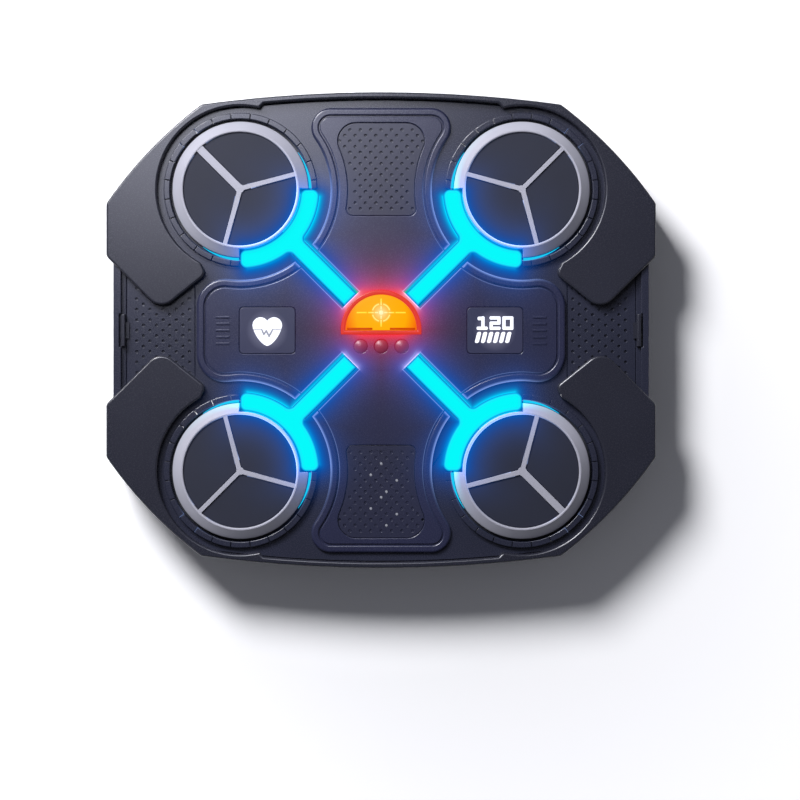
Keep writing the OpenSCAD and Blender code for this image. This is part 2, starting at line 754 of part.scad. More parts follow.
module front_shell() {
    color("#34353e") difference() {
        union() {
            translate([0, 0, under_z]) linear_extrude(floor_t) outline_2d(body_inset);
            translate([0, 0, parting_z]) linear_extrude(under_z - parting_z) difference() {
                outline_2d(body_inset);
                outline_2d(body_inset + wall_t);
            }
            pad_sleeves();
            for (s = SIDES) {
                translate([s * (body_x - rail_w / 2), 0, floor_z + rail_rise / 2])
                    cube([rail_w, 2 * rail_half, rail_rise], center = true);
                translate([0, 0, under_z - ledge_t]) linear_extrude(ledge_t)
                    mirror([s < 0 ? 1 : 0, 0]) polygon(inset_points(GRILLE, -grille_ledge));
                for (p = DISPLAY_POSTS)
                    translate([s * window_x + p.x, p.y, board_z]) cylinder(h = board_drop, r = front_post_r);
            }
            for (p = COVER_SCREWS)
                translate([p.x, p.y, boss_z]) cylinder(h = under_z - boss_z, r = front_boss_r);
            for (p = concat(CONTROL_POSTS, PIN_POSTS))
                translate([p.x, p.y, board_z]) cylinder(h = board_drop, r = front_post_r);
        }
        for (q = QUADS) {
            translate(pad_at(q, under_z - eps))
                cylinder(h = floor_t + 2 * eps, r = well_r, $fn = fine);
            rotate(pad_angle(q)) translate([bar_start - fit, -bar_half - fit, under_z - eps])
                cube([bar_end - bar_start + 2 * fit, bar_w + 2 * fit, floor_t + 2 * eps]);
            for (p = GUARD_SCREWS)
                translate([q.x * p.x, q.y * p.y, under_z - eps]) cylinder(h = floor_t + 2 * eps, r = screw_hole_r);
        }
        for (s = SIDES) {
            mirror([s < 0 ? 1 : 0, 0]) {
                translate([0, 0, floor_z - grille_t]) linear_extrude(grille_t + eps) polygon(GRILLE);
                translate([0, 0, under_z - ledge_t - eps]) linear_extrude(floor_t + ledge_t)
                    polygon(inset_points(GRILLE, grille_ledge));
                translate([body_x - rail_w - eps, -clip_l / 2 - fit, floor_z])
                    cube([eps + clip_recess, clip_l + 2 * fit, rail_rise + eps]);
            }
            translate([s * window_x, 0, under_z - eps]) linear_extrude(floor_t + 2 * eps)
                round_rect(window_w - 2 * window_ledge, window_h - 2 * window_ledge, window_r);
            translate([s * button_pitch, -button_y, under_z - eps])
                cylinder(h = floor_t + 2 * eps, r = button_flange_r + slide);
        }
        translate([0, -button_y, under_z - eps]) cylinder(h = floor_t + 2 * eps, r = button_flange_r + slide);
        translate([0, 0, under_z - eps]) linear_extrude(floor_t + 2 * eps)
            half_moon(lens_r - window_ledge, window_ledge + room);
        for (p = COVER_SCREWS)
            translate([p.x, p.y, boss_z - eps]) cylinder(h = thread_l + pilot_over + eps, r = pilot_r);
        for (p = LIT_POINTS)
            translate([p.x, p.y, under_z - eps]) cylinder(h = floor_t + 2 * eps, r = hole_d / 2);
    }
}

// Rectangle with round corners
module round_rect(w, h, r) {
    square([w - 2 * r, h], center = true);
    square([w, h - 2 * r], center = true);
    for (x = SIDES, y = SIDES)
        translate([x * (w / 2 - r), y * (h / 2 - r)]) circle(r);
}

// Disc of radius r, kept above the height y
module half_moon(r, y) {
    intersection() {
        circle(r, $fn = fine);
        translate([-r, y]) square([2 * r, 2 * r]);
    }
}

// Centre of the fillet of radius r that touches the level line at edge and the circle of radius pr around the
// right-hand pad; side is 1 below the line and -1 above it
function fillet_c(edge, r, pr, side = 1) =
    let (y = edge - side * r)
    [pad_x - sqrt((pr + r) ^ 2 - (y - pad_y) ^ 2), y];

// Cross, whose side fillets keep within the side arm
cross_top = overall_h / 2 - cross_edge;
arm_c = fillet_c(cross_top, arm_r, cross_r);
side_share = 0.6;
side_fillet = min(side_r, side_share * (pad_y - cross_r));
side_c_x = cross_w / 2 - side_fillet;
side_c = [side_c_x, pad_y - sqrt((cross_r + side_fillet) ^ 2 - (side_c_x - pad_x) ^ 2)];

// Stretch of a waisted outline: fillet c0, arc around the right-hand pad, fillet c1, moved inwards by d
function waist(c0, r0, u0, c1, r1, u1, pr, d) = concat(
    arc_between(c0, r0 - d, u0, pad_right - c0),
    arc_between(pad_right, pr + d, c0 - pad_right, c1 - pad_right),
    arc_between(c1, r1 - d, pad_right - c1, u1)
);

// Cross with waisted arms, moved inwards by d
module cross_2d(d = 0) {
    quarter = waist(side_c, side_fillet, [1, 0], arm_c, arm_r, [0, 1], cross_r, d);
    upper = concat(quarter, reversed([for (p = quarter) flip_x(p)]));
    polygon(concat(upper, [for (p = upper) -p]));
}

panel_y1 = cross_top - panel_edge;
panel_c1 = fillet_c(panel_y1, panel_r1, panel_r);
panel_c0 = fillet_c(panel_y0, panel_r0, panel_r, -1);

// Waisted panel in the top arm, moved inwards by d
module panel_2d(d = 0) {
    half = waist(panel_c0, panel_r0, [0, -1], panel_c1, panel_r1, [0, 1], panel_r, d);
    polygon(concat(half, reversed([for (p = half) flip_x(p)])));
}

// Half width of the perforated panel at height y
function panel_half(y) =
    y > panel_c1.y ? panel_c1.x + sqrt(max(0, panel_r1 ^ 2 - (y - panel_c1.y) ^ 2)) :
    y < panel_c0.y ? panel_c0.x + sqrt(max(0, panel_r0 ^ 2 - (y - panel_c0.y) ^ 2)) :
    pad_x - sqrt(panel_r ^ 2 - (y - pad_y) ^ 2);

panel_mid = (panel_y0 + panel_y1) / 2;
function cell(c) = [c.x * hole_pitch_x / 2, panel_mid + c.y * hole_pitch_y / 2];
panel_rows = ceil((panel_y1 - panel_y0) / hole_pitch_y);
panel_cols = ceil(2 * (panel_c1.x + panel_r1) / hole_pitch_x);

// Whether the cell c of the perforation falls inside the panel's margin
function holed(c) =
    let (p = cell(c))
    abs(c.x + c.y) % 2 == 1
    && p.y > panel_y0 + hole_margin + hole_d / 2
    && p.y < panel_y1 - hole_margin - hole_d / 2
    && abs(p.x) < panel_half(p.y) - hole_margin;
PANEL_HOLES = [
    for (row = [-panel_rows : panel_rows], col = [-panel_cols : panel_cols])
        if (holed([col, row])) cell([col, row])
];
LIT_POINTS = [for (c = LIT_CELLS) if (holed(c)) [cell(c).x, -cell(c).y]];

module panel_insert() {
    translate([0, 0, floor_z]) linear_extrude(insert_t) difference() {
        panel_2d(fit);
        for (p = PANEL_HOLES)
            translate(p) circle(hole_d / 2, $fn = small);
    }
}

module top_panel() { color("#45464f") panel_insert(); }
module bottom_panel() { color("#45464f") mirror([0, 1, 0]) panel_insert(); }

module face_plate() {
    color("#3f404b") difference() {
        translate([0, 0, floor_z]) union() {
            linear_extrude(panel_t - inlay_depth) cross_2d();
            linear_extrude(panel_t) cross_2d(ridge_w + inlay_w);
            linear_extrude(panel_t + ridge_rise) difference() {
                cross_2d();
                cross_2d(ridge_w);
            }
            for (s = SIDES, i = [0 : rib_count - 1])
                translate([s * rib_x, (i - (rib_count - 1) / 2) * rib_pitch, (panel_t + rib_rise) / 2])
                    cube([rib_l, rib_w, panel_t + rib_rise], center = true);
        }
        translate([0, 0, floor_z - eps]) linear_extrude(panel_t + ridge_rise + 2 * eps) {
            circle(module_r, $fn = fine);
            panel_2d();
            mirror([0, 1]) panel_2d();
            for (s = SIDES)
                translate([s * window_x, 0]) round_rect(window_w, window_h, window_r);
            for (q = QUADS)
                rotate(pad_angle(q)) translate([bar_start - fit, -bar_half - slot_gap])
                    square([pad_d, bar_w + 2 * slot_gap]);
        }
    }
}

// Plan of a light guide along +X, with the pad centre at pad_d: bar and arc
module guide_2d() {
    pad = [pad_d, 0];
    end_a = 180 - arc_half;
    branch_a = 180 - asin(bar_half / arc_out_r);
    branch_trim = 6;
    half = concat(
        [[[bar_start, bar_half], bar_corner_r], [pad + arc_out_r * [cos(branch_a), sin(branch_a)], branch_r]],
        sharp(arc(pad, arc_out_r, branch_a - branch_trim, end_a + flank_trim + branch_trim)),
        [for (r = [arc_out_r, arc_in_r]) [pad + r * [cos(end_a), sin(end_a)], arc_end_r]],
        sharp(arc(pad, arc_in_r, end_a + flank_trim + branch_trim, 180))
    );
    whole = concat(half, reversed([for (p = half) if (p[0].y > eps) [[p[0].x, -p[0].y], p[1]]]));
    polygon(rounded(whole));
}

// Thin tails that run on from the arc, between the ring and the segmented band
module guide_tails() {
    tail_lap = 4;
    middle = (ring_r + band_r) / 2;
    for (s = SIDES)
        translate([pad_d, 0]) rotate(180 + (s > 0 ? arc_half - tail_lap : -tail_half))
            rotate_extrude(angle = tail_half - arc_half + tail_lap, $fn = fine)
                translate([middle - tail_w / 2, floor_z + fit]) square([tail_w, tail_rise - fit]);
}

module light_guide(q) {
    color("#1fd6ee") rotate(pad_angle(q)) difference() {
        union() {
            translate([0, 0, floor_z + fit]) linear_extrude(guide_rise - fit) guide_2d();
            guide_tails();
            translate([bar_start + bar_foot, -bar_half, under_z])
                cube([bar_end - bar_start - bar_foot, bar_w, floor_t + room]);
        }
        for (p = LED_POINTS)
            translate([p - chip_l / 2 - fit, -chip_w / 2 - fit, under_z - eps])
                cube([chip_l + 2 * fit, chip_w + 2 * fit, chip_t + fit + eps]);
    }
}

module light_guide_tl() { light_guide(QUADS[0]); }
module light_guide_tr() { light_guide(QUADS[1]); }
module light_guide_bl() { light_guide(QUADS[2]); }
module light_guide_br() { light_guide(QUADS[3]); }

// LED chip with its middle at the origin, on a board whose underside is at 0
module led_chip() {
    translate([-chip_l / 2, -chip_w / 2, 0]) cube([chip_l, chip_w, board_t + chip_t]);
}

// Boards under the light bars, against the underside of the floor
module led_boards() {
    color("#1f5f3f") for (q = QUADS)
        rotate(pad_angle(q)) translate([0, 0, under_z - board_t]) {
            translate([bar_start + room, -bar_half - board_margin, 0])
                cube([bar_end - bar_start, bar_w + 2 * board_margin, board_t]);
            for (p = LED_POINTS)
                translate([p, 0, 0]) led_chip();
        }
}

// Segmented band around a pad, open where the light arc lies
module segment_ring(q) {
    gap = arc_half + arc_gap;
    inner = band_r;
    outer = band_r + segment_w;
    top = floor_z + segment_rise;
    color("#3a3b45") translate(pad_at(q, 0)) rotate(pad_angle(q) + 180) difference() {
        rotate(gap) rotate_extrude(angle = 360 - 2 * gap, $fn = fine)
            polygon([
                [inner, floor_z], [outer + ledge_w, floor_z], [outer + ledge_w, top - ledge_drop],
                [outer, top - ledge_drop], [outer, top - segment_c], [outer - segment_c, top],
                [inner + segment_c, top], [inner, top - segment_c]
            ]);
        for (i = [0 : segment_count - 1])
            rotate((i + 0.5) * 360 / segment_count)
                translate([inner - eps, -tick_w / 2, top - ledge_drop])
                    cube([segment_w + eps, tick_w, ledge_drop + eps]);
    }
}

module segment_ring_tl() { segment_ring(QUADS[0]); }
module segment_ring_tr() { segment_ring(QUADS[1]); }
module segment_ring_bl() { segment_ring(QUADS[2]); }
module segment_ring_br() { segment_ring(QUADS[3]); }

// Three spokes, the first one towards the corner of the object, grown by gap for the channels that they lie in
module spokes(gap = 0) {
    h = spoke_t + (gap > 0 ? room : 0);
    widths = [main_spoke_w, spoke_w, spoke_w];
    for (i = [0 : len(widths) - 1])
        rotate(i * 360 / len(widths)) translate([0, -widths[i] / 2 - gap, spoke_z])
            cube([face_r + seat_gap + rim_w / 2, widths[i] + 2 * gap, h]);
    translate([0, 0, spoke_z]) cylinder(h = h, r = hub_r + gap);
}

// Sector of half angle a, pointing along -X
module sector_2d(a, r) {
    polygon([[0, 0], [-r, -r * tan(a)], [-r, r * tan(a)]]);
}

module strike_ring(q) {
    inner = face_r + seat_gap;
    color("#c3c6d2") translate(pad_at(q, 0)) rotate(pad_angle(q)) {
        difference() {
            rotate_extrude($fn = fine)
                polygon([
                    [inner, floor_z], [ring_r, floor_z], [ring_r, floor_z + bevel_rise - bevel_c],
                    [ring_r - bevel_c, floor_z + bevel_rise], [rim_r, rim_z - rim_c], [rim_r - rim_c, rim_z],
                    [inner + rim_c, rim_z], [inner, rim_z - rim_c]
                ]);
            translate([0, 0, floor_z - eps]) linear_extrude(pad_rise + 2 * eps) difference() {
                sector_2d(arc_half + arc_gap, 2 * ring_r);
                circle(rim_r, $fn = fine);
            }
        }
        spokes();
    }
}

module strike_ring_tl() { strike_ring(QUADS[0]); }
module strike_ring_tr() { strike_ring(QUADS[1]); }
module strike_ring_bl() { strike_ring(QUADS[2]); }
module strike_ring_br() { strike_ring(QUADS[3]); }

// Dark face in three sectors, with channels that the spokes lie in
module strike_face(q) {
    color("#3c3e4c") translate(pad_at(q, 0)) rotate(pad_angle(q)) difference() {
        translate([0, 0, floor_z]) cylinder(h = face_z - floor_z, r = face_r, $fn = fine);
        spokes(seat_gap);
    }
}

module strike_face_tl() { strike_face(QUADS[0]); }
module strike_face_tr() { strike_face(QUADS[1]); }
module strike_face_bl() { strike_face(QUADS[2]); }
module strike_face_br() { strike_face(QUADS[3]); }

// Impact switch under each plunger, on a shelf in the foam's seat
sensor_bore_r = foam_in_r - room;
sensor_top = inner_z + sensor_h + board_t + sensor_t;
plunger_z = sensor_top + pad_travel + seat_gap;

module pad_carrier(q) {
    color("#2c2d33") translate(pad_at(q, 0)) union() {
        translate([0, 0, flange_z]) cylinder(h = flange_t, r = flange_r, $fn = fine);
        translate([0, 0, flange_z]) cylinder(h = floor_z - flange_z, r = ring_r, $fn = fine);
        translate([0, 0, plunger_z]) cylinder(h = flange_z - plunger_z + room, r = plunger_r);
    }
}

module pad_carrier_tl() { pad_carrier(QUADS[0]); }
module pad_carrier_tr() { pad_carrier(QUADS[1]); }
module pad_carrier_bl() { pad_carrier(QUADS[2]); }
module pad_carrier_br() { pad_carrier(QUADS[3]); }

module foam_ring(q) {
    color("#5b5d63") translate(pad_at(q, seat_z)) linear_extrude(flange_z - seat_z) difference() {
        circle(foam_out_r, $fn = fine);
        circle(foam_in_r, $fn = fine);
    }
}

module foam_ring_tl() { foam_ring(QUADS[0]); }
module foam_ring_tr() { foam_ring(QUADS[1]); }
module foam_ring_bl() { foam_ring(QUADS[2]); }
module foam_ring_br() { foam_ring(QUADS[3]); }

module impact_switches() {
    color("#1f5f3f") for (q = QUADS)
        translate(pad_at(q, inner_z + sensor_h)) {
            cylinder(h = board_t, r = sensor_bore_r - room);
            translate([-sensor_w / 2, -sensor_w / 2, 0]) cube([sensor_w, sensor_w, board_t + sensor_t]);
        }
}

// Outline of a speaker grille on the right side, counter-clockwise; its notches follow the guard tips
grille_x1 = body_x - rail_w - grille_rail_gap;
grille_notch = guard_tip.y + grille_cover;
GRILLE = [
    [grille_x0, -grille_notch - heel_slope * (guard_tip.x - grille_x0)],
    [guard_tip.x, -grille_notch],
    [grille_x1, -grille_notch - (grille_x1 - guard_tip.x)],
    [grille_x1, grille_notch + grille_x1 - guard_tip.x],
    [guard_tip.x, grille_notch],
    [grille_x0, grille_notch + heel_slope * (guard_tip.x - grille_x0)]
];
function grille_half(x) = grille_notch + (x > guard_tip.x ? x - guard_tip.x : heel_slope * (guard_tip.x - x));
grille_cols = ceil(2 * (grille_x1 - grille_x0) / grille_pitch_x);
grille_rows = ceil(grille_half(grille_x1) / grille_pitch_y);
GRILLE_HOLES = [
    for (col = [0 : grille_cols], row = [-grille_rows : grille_rows])
        let (
            x = grille_x0 + grille_ledge + hole_d + col * grille_pitch_x / 2,
            p = [x, (row + (col % 2) / 2) * grille_pitch_y]
        )
        if (p.x < grille_x1 - grille_ledge - hole_d && abs(p.y) < grille_half(p.x) - grille_ledge - hole_d)
            p
];

module speaker_grille_shape() {
    translate([0, 0, floor_z - grille_t]) linear_extrude(grille_t - seat_gap) difference() {
        polygon(inset_points(GRILLE, fit));
        for (p = GRILLE_HOLES)
            translate(p) circle(hole_d / 2, $fn = small);
    }
}

module left_grille() { color("#3d3e47") mirror([1, 0, 0]) speaker_grille_shape(); }
module right_grille() { color("#3d3e47") speaker_grille_shape(); }

// Clip that stands beside the rail and holds the edge of the grille down
module clip_shape() {
    clip_x = body_x - rail_w - clip_w;
    translate([clip_x, -clip_l / 2, floor_z]) cube([clip_w, clip_l, clip_rise]);
    translate([clip_x - clip_toe, -toe_l / 2, floor_z]) cube([clip_toe + clip_w, toe_l, toe_t]);
}

module left_clip() { color("#50515b") mirror([1, 0, 0]) clip_shape(); }
module right_clip() { color("#50515b") clip_shape(); }

module speaker() {
    top = under_z - ledge_t;
    translate([(grille_x0 + grille_x1) / 2, 0, 0]) rotate_extrude($fn = fine)
        polygon([
            [0, top - speaker_d], [magnet_r, top - speaker_d], [magnet_r, top - speaker_d + magnet_t],
            [basket_r, top - speaker_d + magnet_t], [speaker_r - room, top - speaker_rim_t],
            [speaker_r, top - speaker_rim_t], [speaker_r, top], [speaker_r - speaker_rim_w, top],
            [cap_r, top - cone_d], [0, top - cap_d]
        ]);
}

module left_speaker() { color("#33343a") mirror([1, 0, 0]) speaker(); }
module right_speaker() { color("#33343a") speaker(); }

// Half-moon target lens in its bezel, with the button plate below
bezel_r = module_r - fit;
lens_r = bezel_r - bezel_w;

module target_bezel() {
    color("#d8402c") translate([0, 0, floor_z]) linear_extrude(bezel_rise) difference() {
        half_moon(bezel_r, -bezel_flat);
        half_moon(lens_r, 0);
    }
}

module target_lens() {
    color("#f6a800") intersection() {
        translate([0, 0, floor_z]) linear_extrude(lens_rise + eps) half_moon(lens_r - seat_gap, seat_gap);
        translate([0, 0, floor_z + lens_rise - lens_crown_r]) sphere(lens_crown_r, $fn = 2 * fine);
    }
}

button_flange_r = button_r + button_flange_w;
BUTTON_X = [-button_pitch, 0, button_pitch];

module button_plate() {
    color("#41424d") translate([0, 0, floor_z]) linear_extrude(panel_t) difference() {
        mirror([0, 1]) half_moon(bezel_r, bezel_flat + fit);
        for (x = BUTTON_X)
            translate([x, -button_y]) circle(button_r + slide, $fn = medium);
    }
}

module button(x) {
    flange_top = floor_z - seat_gap;
    stem_z = board_z + switch_h + button_travel + seat_gap;
    color("#6a6b78") translate([x, -button_y, 0]) {
        intersection() {
            translate([0, 0, flange_top - room]) cylinder(h = button_rise + 2 * room, r = button_r, $fn = medium);
            translate([0, 0, floor_z + button_rise - button_crown_r]) sphere(button_crown_r, $fn = 2 * medium);
        }
        translate([0, 0, flange_top - button_flange_t])
            cylinder(h = button_flange_t, r = button_flange_r, $fn = medium);
        translate([0, 0, stem_z]) cylinder(h = flange_top - stem_z - button_flange_t / 2, r = stem_r);
    }
}

module button_left() { button(BUTTON_X[0]); }
module button_middle() { button(BUTTON_X[1]); }
module button_right() { button(BUTTON_X[2]); }

CONTROL_POSTS = [
    for (s = SIDES, y = [-control_post_down, control_post_up]) [s * (control_w / 2 - control_inset), y]
];

module control_board() {
    color("#1f5f3f") translate([0, 0, board_z - board_t]) {
        translate([-control_w / 2, -control_down, 0]) cube([control_w, control_up + control_down, board_t]);
        for (x = BUTTON_X)
            translate([x, -button_y, 0]) {
                translate([-switch_w / 2, -switch_w / 2, 0])
                    cube([switch_w, switch_w, board_t + switch_h - switch_cap_t]);
                cylinder(h = board_t + switch_h, r = switch_cap_r);
            }
        for (i = [-1, 0, 1])
            translate([i * lens_led_pitch, lens_led_y, 0]) led_chip();
    }
}

module display_window(s) {
    color("#2b2c38") translate([s * window_x, 0, floor_z]) linear_extrude(panel_t)
        round_rect(window_w - 2 * fit, window_h - 2 * fit, window_r);
}

module left_window() { display_window(-1); }
module right_window() { display_window(1); }

DISPLAY_POSTS = [
    for (x = SIDES, y = SIDES) [x * (window_w / 2 + window_post_gap), y * (window_h / 2 - window_post_inset)]
];

module display_boards() {
    color("#1f5f3f") for (s = SIDES)
        translate([s * window_x, 0, board_z - board_t]) {
            translate([-window_w / 2 - board_margin, -window_h / 2, 0])
                cube([window_w + 2 * board_margin, window_h, board_t]);
            for (i = [-1, 0, 1], y = SIDES)
                translate([i * lens_led_pitch, y * window_led_y, 0]) led_chip();
        }
}

// Pin lights in the bottom panel stand on their own board
pin_board_h = panel_y1 - panel_y0 - 2 * pin_board_edge;
PIN_POSTS = [
    for (x = SIDES, y = SIDES) [x * (pin_board_w / 2 - post_inset), -panel_mid + y * (pin_board_h / 2 - post_inset)]
];

module pin_lights() {
    color("#f4f8ff") for (p = LIT_POINTS)
        translate([p.x, p.y, board_z]) cylinder(h = floor_z + insert_t - board_z, r = hole_d / 2 - eps, $fn = small);
}

module pin_light_board() {
    color("#1f5f3f") translate([-pin_board_w / 2, -panel_mid - pin_board_h / 2, board_z - board_t])
        cube([pin_board_w, pin_board_h, board_t]);
}

main_z = inner_z + main_rise;
main_mid = main_y - arm_screw_y;
MAIN_POSTS = [
    for (x = SIDES, y = SIDES) [x * (main_w / 2 - post_inset), main_mid + y * (main_h / 2 - post_inset)]
];

// Chips of the main board: middle from the board's middle, then width, height and thickness
MAIN_CHIPS = [[-16, -2, 14, 14, 1.2], [4, -2, 10, 7, 1.4]];

module main_board() {
    color("#1f5f3f") translate([0, main_mid, main_z]) {
        translate([-main_w / 2, -main_h / 2, 0]) cube([main_w, main_h, board_t]);
        for (c = MAIN_CHIPS)
            translate([c[0] - c[2] / 2, c[1] - c[3] / 2, 0]) cube([c[2], c[3], board_t + c[4]]);
        for (i = [0 : socket_count - 1])
            translate([
                (i - (socket_count - 1) / 2) * socket_pitch - socket_w / 2, main_h / 2 - post_inset / 2 - socket_d, 0
            ]) cube([socket_w, socket_d, board_t + socket_h]);
    }
}

module battery_pack() {
    color("#7a8aa0") translate([0, arm_screw_y - battery_y, inner_z]) linear_extrude(battery_t)
        round_rect(battery_w, battery_h, battery_r);
}

// Charging port in the right side wall, on its own small board
port_x = body_x - wall_t - tongue_t - room;
port_board_z = inner_z + port_board_rise;
port_z = port_board_z + board_t + port_h / 2;

// Section of the charging port, moved inwards by d
module port_2d(d = 0) {
    r = port_h / 2 - d;
    square([port_w - port_h, 2 * r], center = true);
    for (s = SIDES)
        translate([s * (port_w - port_h) / 2, 0]) circle(r, $fn = medium);
}

module charging_port() {
    color("#b9bcc2") translate([body_x - port_d, -port_y, port_z]) rotate([90, 0, 90]) {
        linear_extrude(port_d) difference() {
            port_2d();
            port_2d(port_t);
        }
        linear_extrude(port_back) port_2d();
        linear_extrude(port_d - room) square([port_tongue_w, port_tongue_t], center = true);
    }
}

module charging_board() {
    color("#1f5f3f") translate([port_x - port_board_l, -port_y - port_board_w / 2, port_board_z])
        cube([port_board_l, port_board_w, board_t]);
}

// Screw with its head down, head face at the origin
module screw(l) {
    cylinder(h = head_t, r = head_r);
    cylinder(h = head_t + l, r = screw_r);
}

module cover_screws() {
    color("#8d9096") for (p = COVER_SCREWS)
        translate([p.x, p.y, inner_z - head_t]) screw(boss_h + thread_l);
}

module bumper_screws() {
    color("#8d9096") for (q = QUADS, p = GUARD_SCREWS)
        translate([q.x * p.x, q.y * p.y, under_z - head_t]) screw(floor_t + thread_l - fit);
}

module rubber_feet() {
    color("#1b1b1e") for (q = QUADS)
        translate([q.x * foot_x, q.y * foot_y, 0]) cylinder(h = foot_h, r = foot_r, $fn = medium);
}

rear_cover();
front_shell();
top_bumper();
bottom_bumper();
face_plate();
top_panel();
bottom_panel();
left_grille();
right_grille();
left_clip();
right_clip();
segment_ring_tl();
segment_ring_tr();
segment_ring_bl();
segment_ring_br();
light_guide_tl();
light_guide_tr();
light_guide_bl();
light_guide_br();
led_boards();
strike_ring_tl();
strike_ring_tr();
strike_ring_bl();
strike_ring_br();
strike_face_tl();
strike_face_tr();
strike_face_bl();
strike_face_br();
pad_carrier_tl();
pad_carrier_tr();
pad_carrier_bl();
pad_carrier_br();
foam_ring_tl();
foam_ring_tr();
foam_ring_bl();
foam_ring_br();
impact_switches();
target_bezel();
target_lens();
button_plate();
button_left();
button_middle();
button_right();
control_board();
left_window();
right_window();
display_boards();
pin_lights();
pin_light_board();
left_speaker();
right_speaker();
main_board();
battery_pack();
charging_port();
charging_board();
cover_screws();
bumper_screws();
rubber_feet();
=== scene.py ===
"""Looks of a light-up music strike pad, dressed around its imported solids."""

import json
import math
from typing import NamedTuple

import bmesh
import bpy
from bpy.props import FloatProperty, FloatVectorProperty, PointerProperty
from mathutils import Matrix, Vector
from mathutils.bvhtree import BVHTree

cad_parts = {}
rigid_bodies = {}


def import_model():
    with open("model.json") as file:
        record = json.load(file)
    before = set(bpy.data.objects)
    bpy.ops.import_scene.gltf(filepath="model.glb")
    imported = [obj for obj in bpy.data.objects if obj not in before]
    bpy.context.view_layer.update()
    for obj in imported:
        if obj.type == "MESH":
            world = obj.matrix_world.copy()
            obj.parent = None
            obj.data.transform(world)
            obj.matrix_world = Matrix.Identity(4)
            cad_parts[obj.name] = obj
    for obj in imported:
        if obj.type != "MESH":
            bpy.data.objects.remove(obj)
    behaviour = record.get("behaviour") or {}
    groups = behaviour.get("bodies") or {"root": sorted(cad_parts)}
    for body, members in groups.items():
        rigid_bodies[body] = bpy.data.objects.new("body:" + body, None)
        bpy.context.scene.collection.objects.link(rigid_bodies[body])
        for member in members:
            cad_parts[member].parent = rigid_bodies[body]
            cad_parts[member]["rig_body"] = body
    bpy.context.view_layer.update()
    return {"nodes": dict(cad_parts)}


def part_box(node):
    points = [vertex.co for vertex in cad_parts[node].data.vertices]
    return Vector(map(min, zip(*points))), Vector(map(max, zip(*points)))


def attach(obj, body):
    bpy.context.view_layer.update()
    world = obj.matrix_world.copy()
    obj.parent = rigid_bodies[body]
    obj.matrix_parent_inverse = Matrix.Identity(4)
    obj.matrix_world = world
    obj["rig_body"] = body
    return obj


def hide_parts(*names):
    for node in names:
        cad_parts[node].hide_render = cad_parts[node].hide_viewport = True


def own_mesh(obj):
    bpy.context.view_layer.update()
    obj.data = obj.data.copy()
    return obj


bl_info = {
    "name": "Light-up music strike pad",
    "version": (1, 0, 0),
    "blender": (4, 5, 0),
    "location": "View3D > Sidebar > Strike pad",
    "description": "Dresses the solids of a light-up music strike pad and sets its studio",
    "category": "Object",
}

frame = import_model()
NODES = frame["nodes"]

MM = 0.001
CORNERS = {"tl": (-1, 1), "tr": (1, 1), "bl": (-1, -1), "br": (1, -1)}


def middle(node):
    """Middle of a solid's box."""
    low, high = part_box(node)
    return (low + high) / 2


def foot(node):
    """Height of a solid's underside, in mm."""
    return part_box(node)[0].z / MM


def top(node):
    """Height of a solid's top, in mm."""
    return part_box(node)[1].z / MM


PAD = middle("pad_carrier_tr")
WINDOW = middle("left_window")
WINDOW_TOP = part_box("left_window")[1].z
GUIDE_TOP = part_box("light_guide_tr")[1].z

# Plan of a pad and its light guide, in mm: a bar from the middle to the pad, and an arc round the pad
BAR_START = 31.0
BAR_HALF = 6.0
SLOT_HALF = 8.6
ARC_IN = 42.9
ARC_OUT = 56.0
RING_MID = 44.0
RING_OUT = 48.2
COLLAR_R = 59.0
PAD_X, PAD_Y = PAD.x / MM, PAD.y / MM
PAD_D = math.hypot(PAD_X, PAD_Y)
BAR_X, BAR_Y = PAD_X / PAD_D, PAD_Y / PAD_D
# Half of the arc and half of its bright part, in degrees
ARC_HALF = 45.2
GLOW_HALF = 40.0
# Level of the target, and the lens taken as a level bar of light: level, half length, radius and taper
TARGET_Y = 12.6
LENS_Y = 12.0
LENS_HALF = 11.0
LENS_R = 16.0
LENS_TAPER = 1.15
# Height that parts the floors of the slots from the face above them, in mm
SLOT_TOP = 37.4


def linear(hex_colour):
    """Linear RGBA of an sRGB hex colour."""
    parts = [int(hex_colour[i : i + 2], 16) / 255 for i in (1, 3, 5)]
    return tuple(c / 12.92 if c <= 0.04045 else ((c + 0.055) / 1.055) ** 2.4 for c in parts) + (1.0,)


def colour(name, description, hex_colour):
    """Property of a colour that a user may change."""
    return FloatVectorProperty(
        name=name, description=description, default=linear(hex_colour), size=4, min=0, max=1, subtype="COLOR"
    )


def length(name, description, mm):
    """Property of a length that a user may change."""
    return FloatProperty(
        name=name, description=description, default=mm * MM, min=0, unit="LENGTH", precision=5
    )


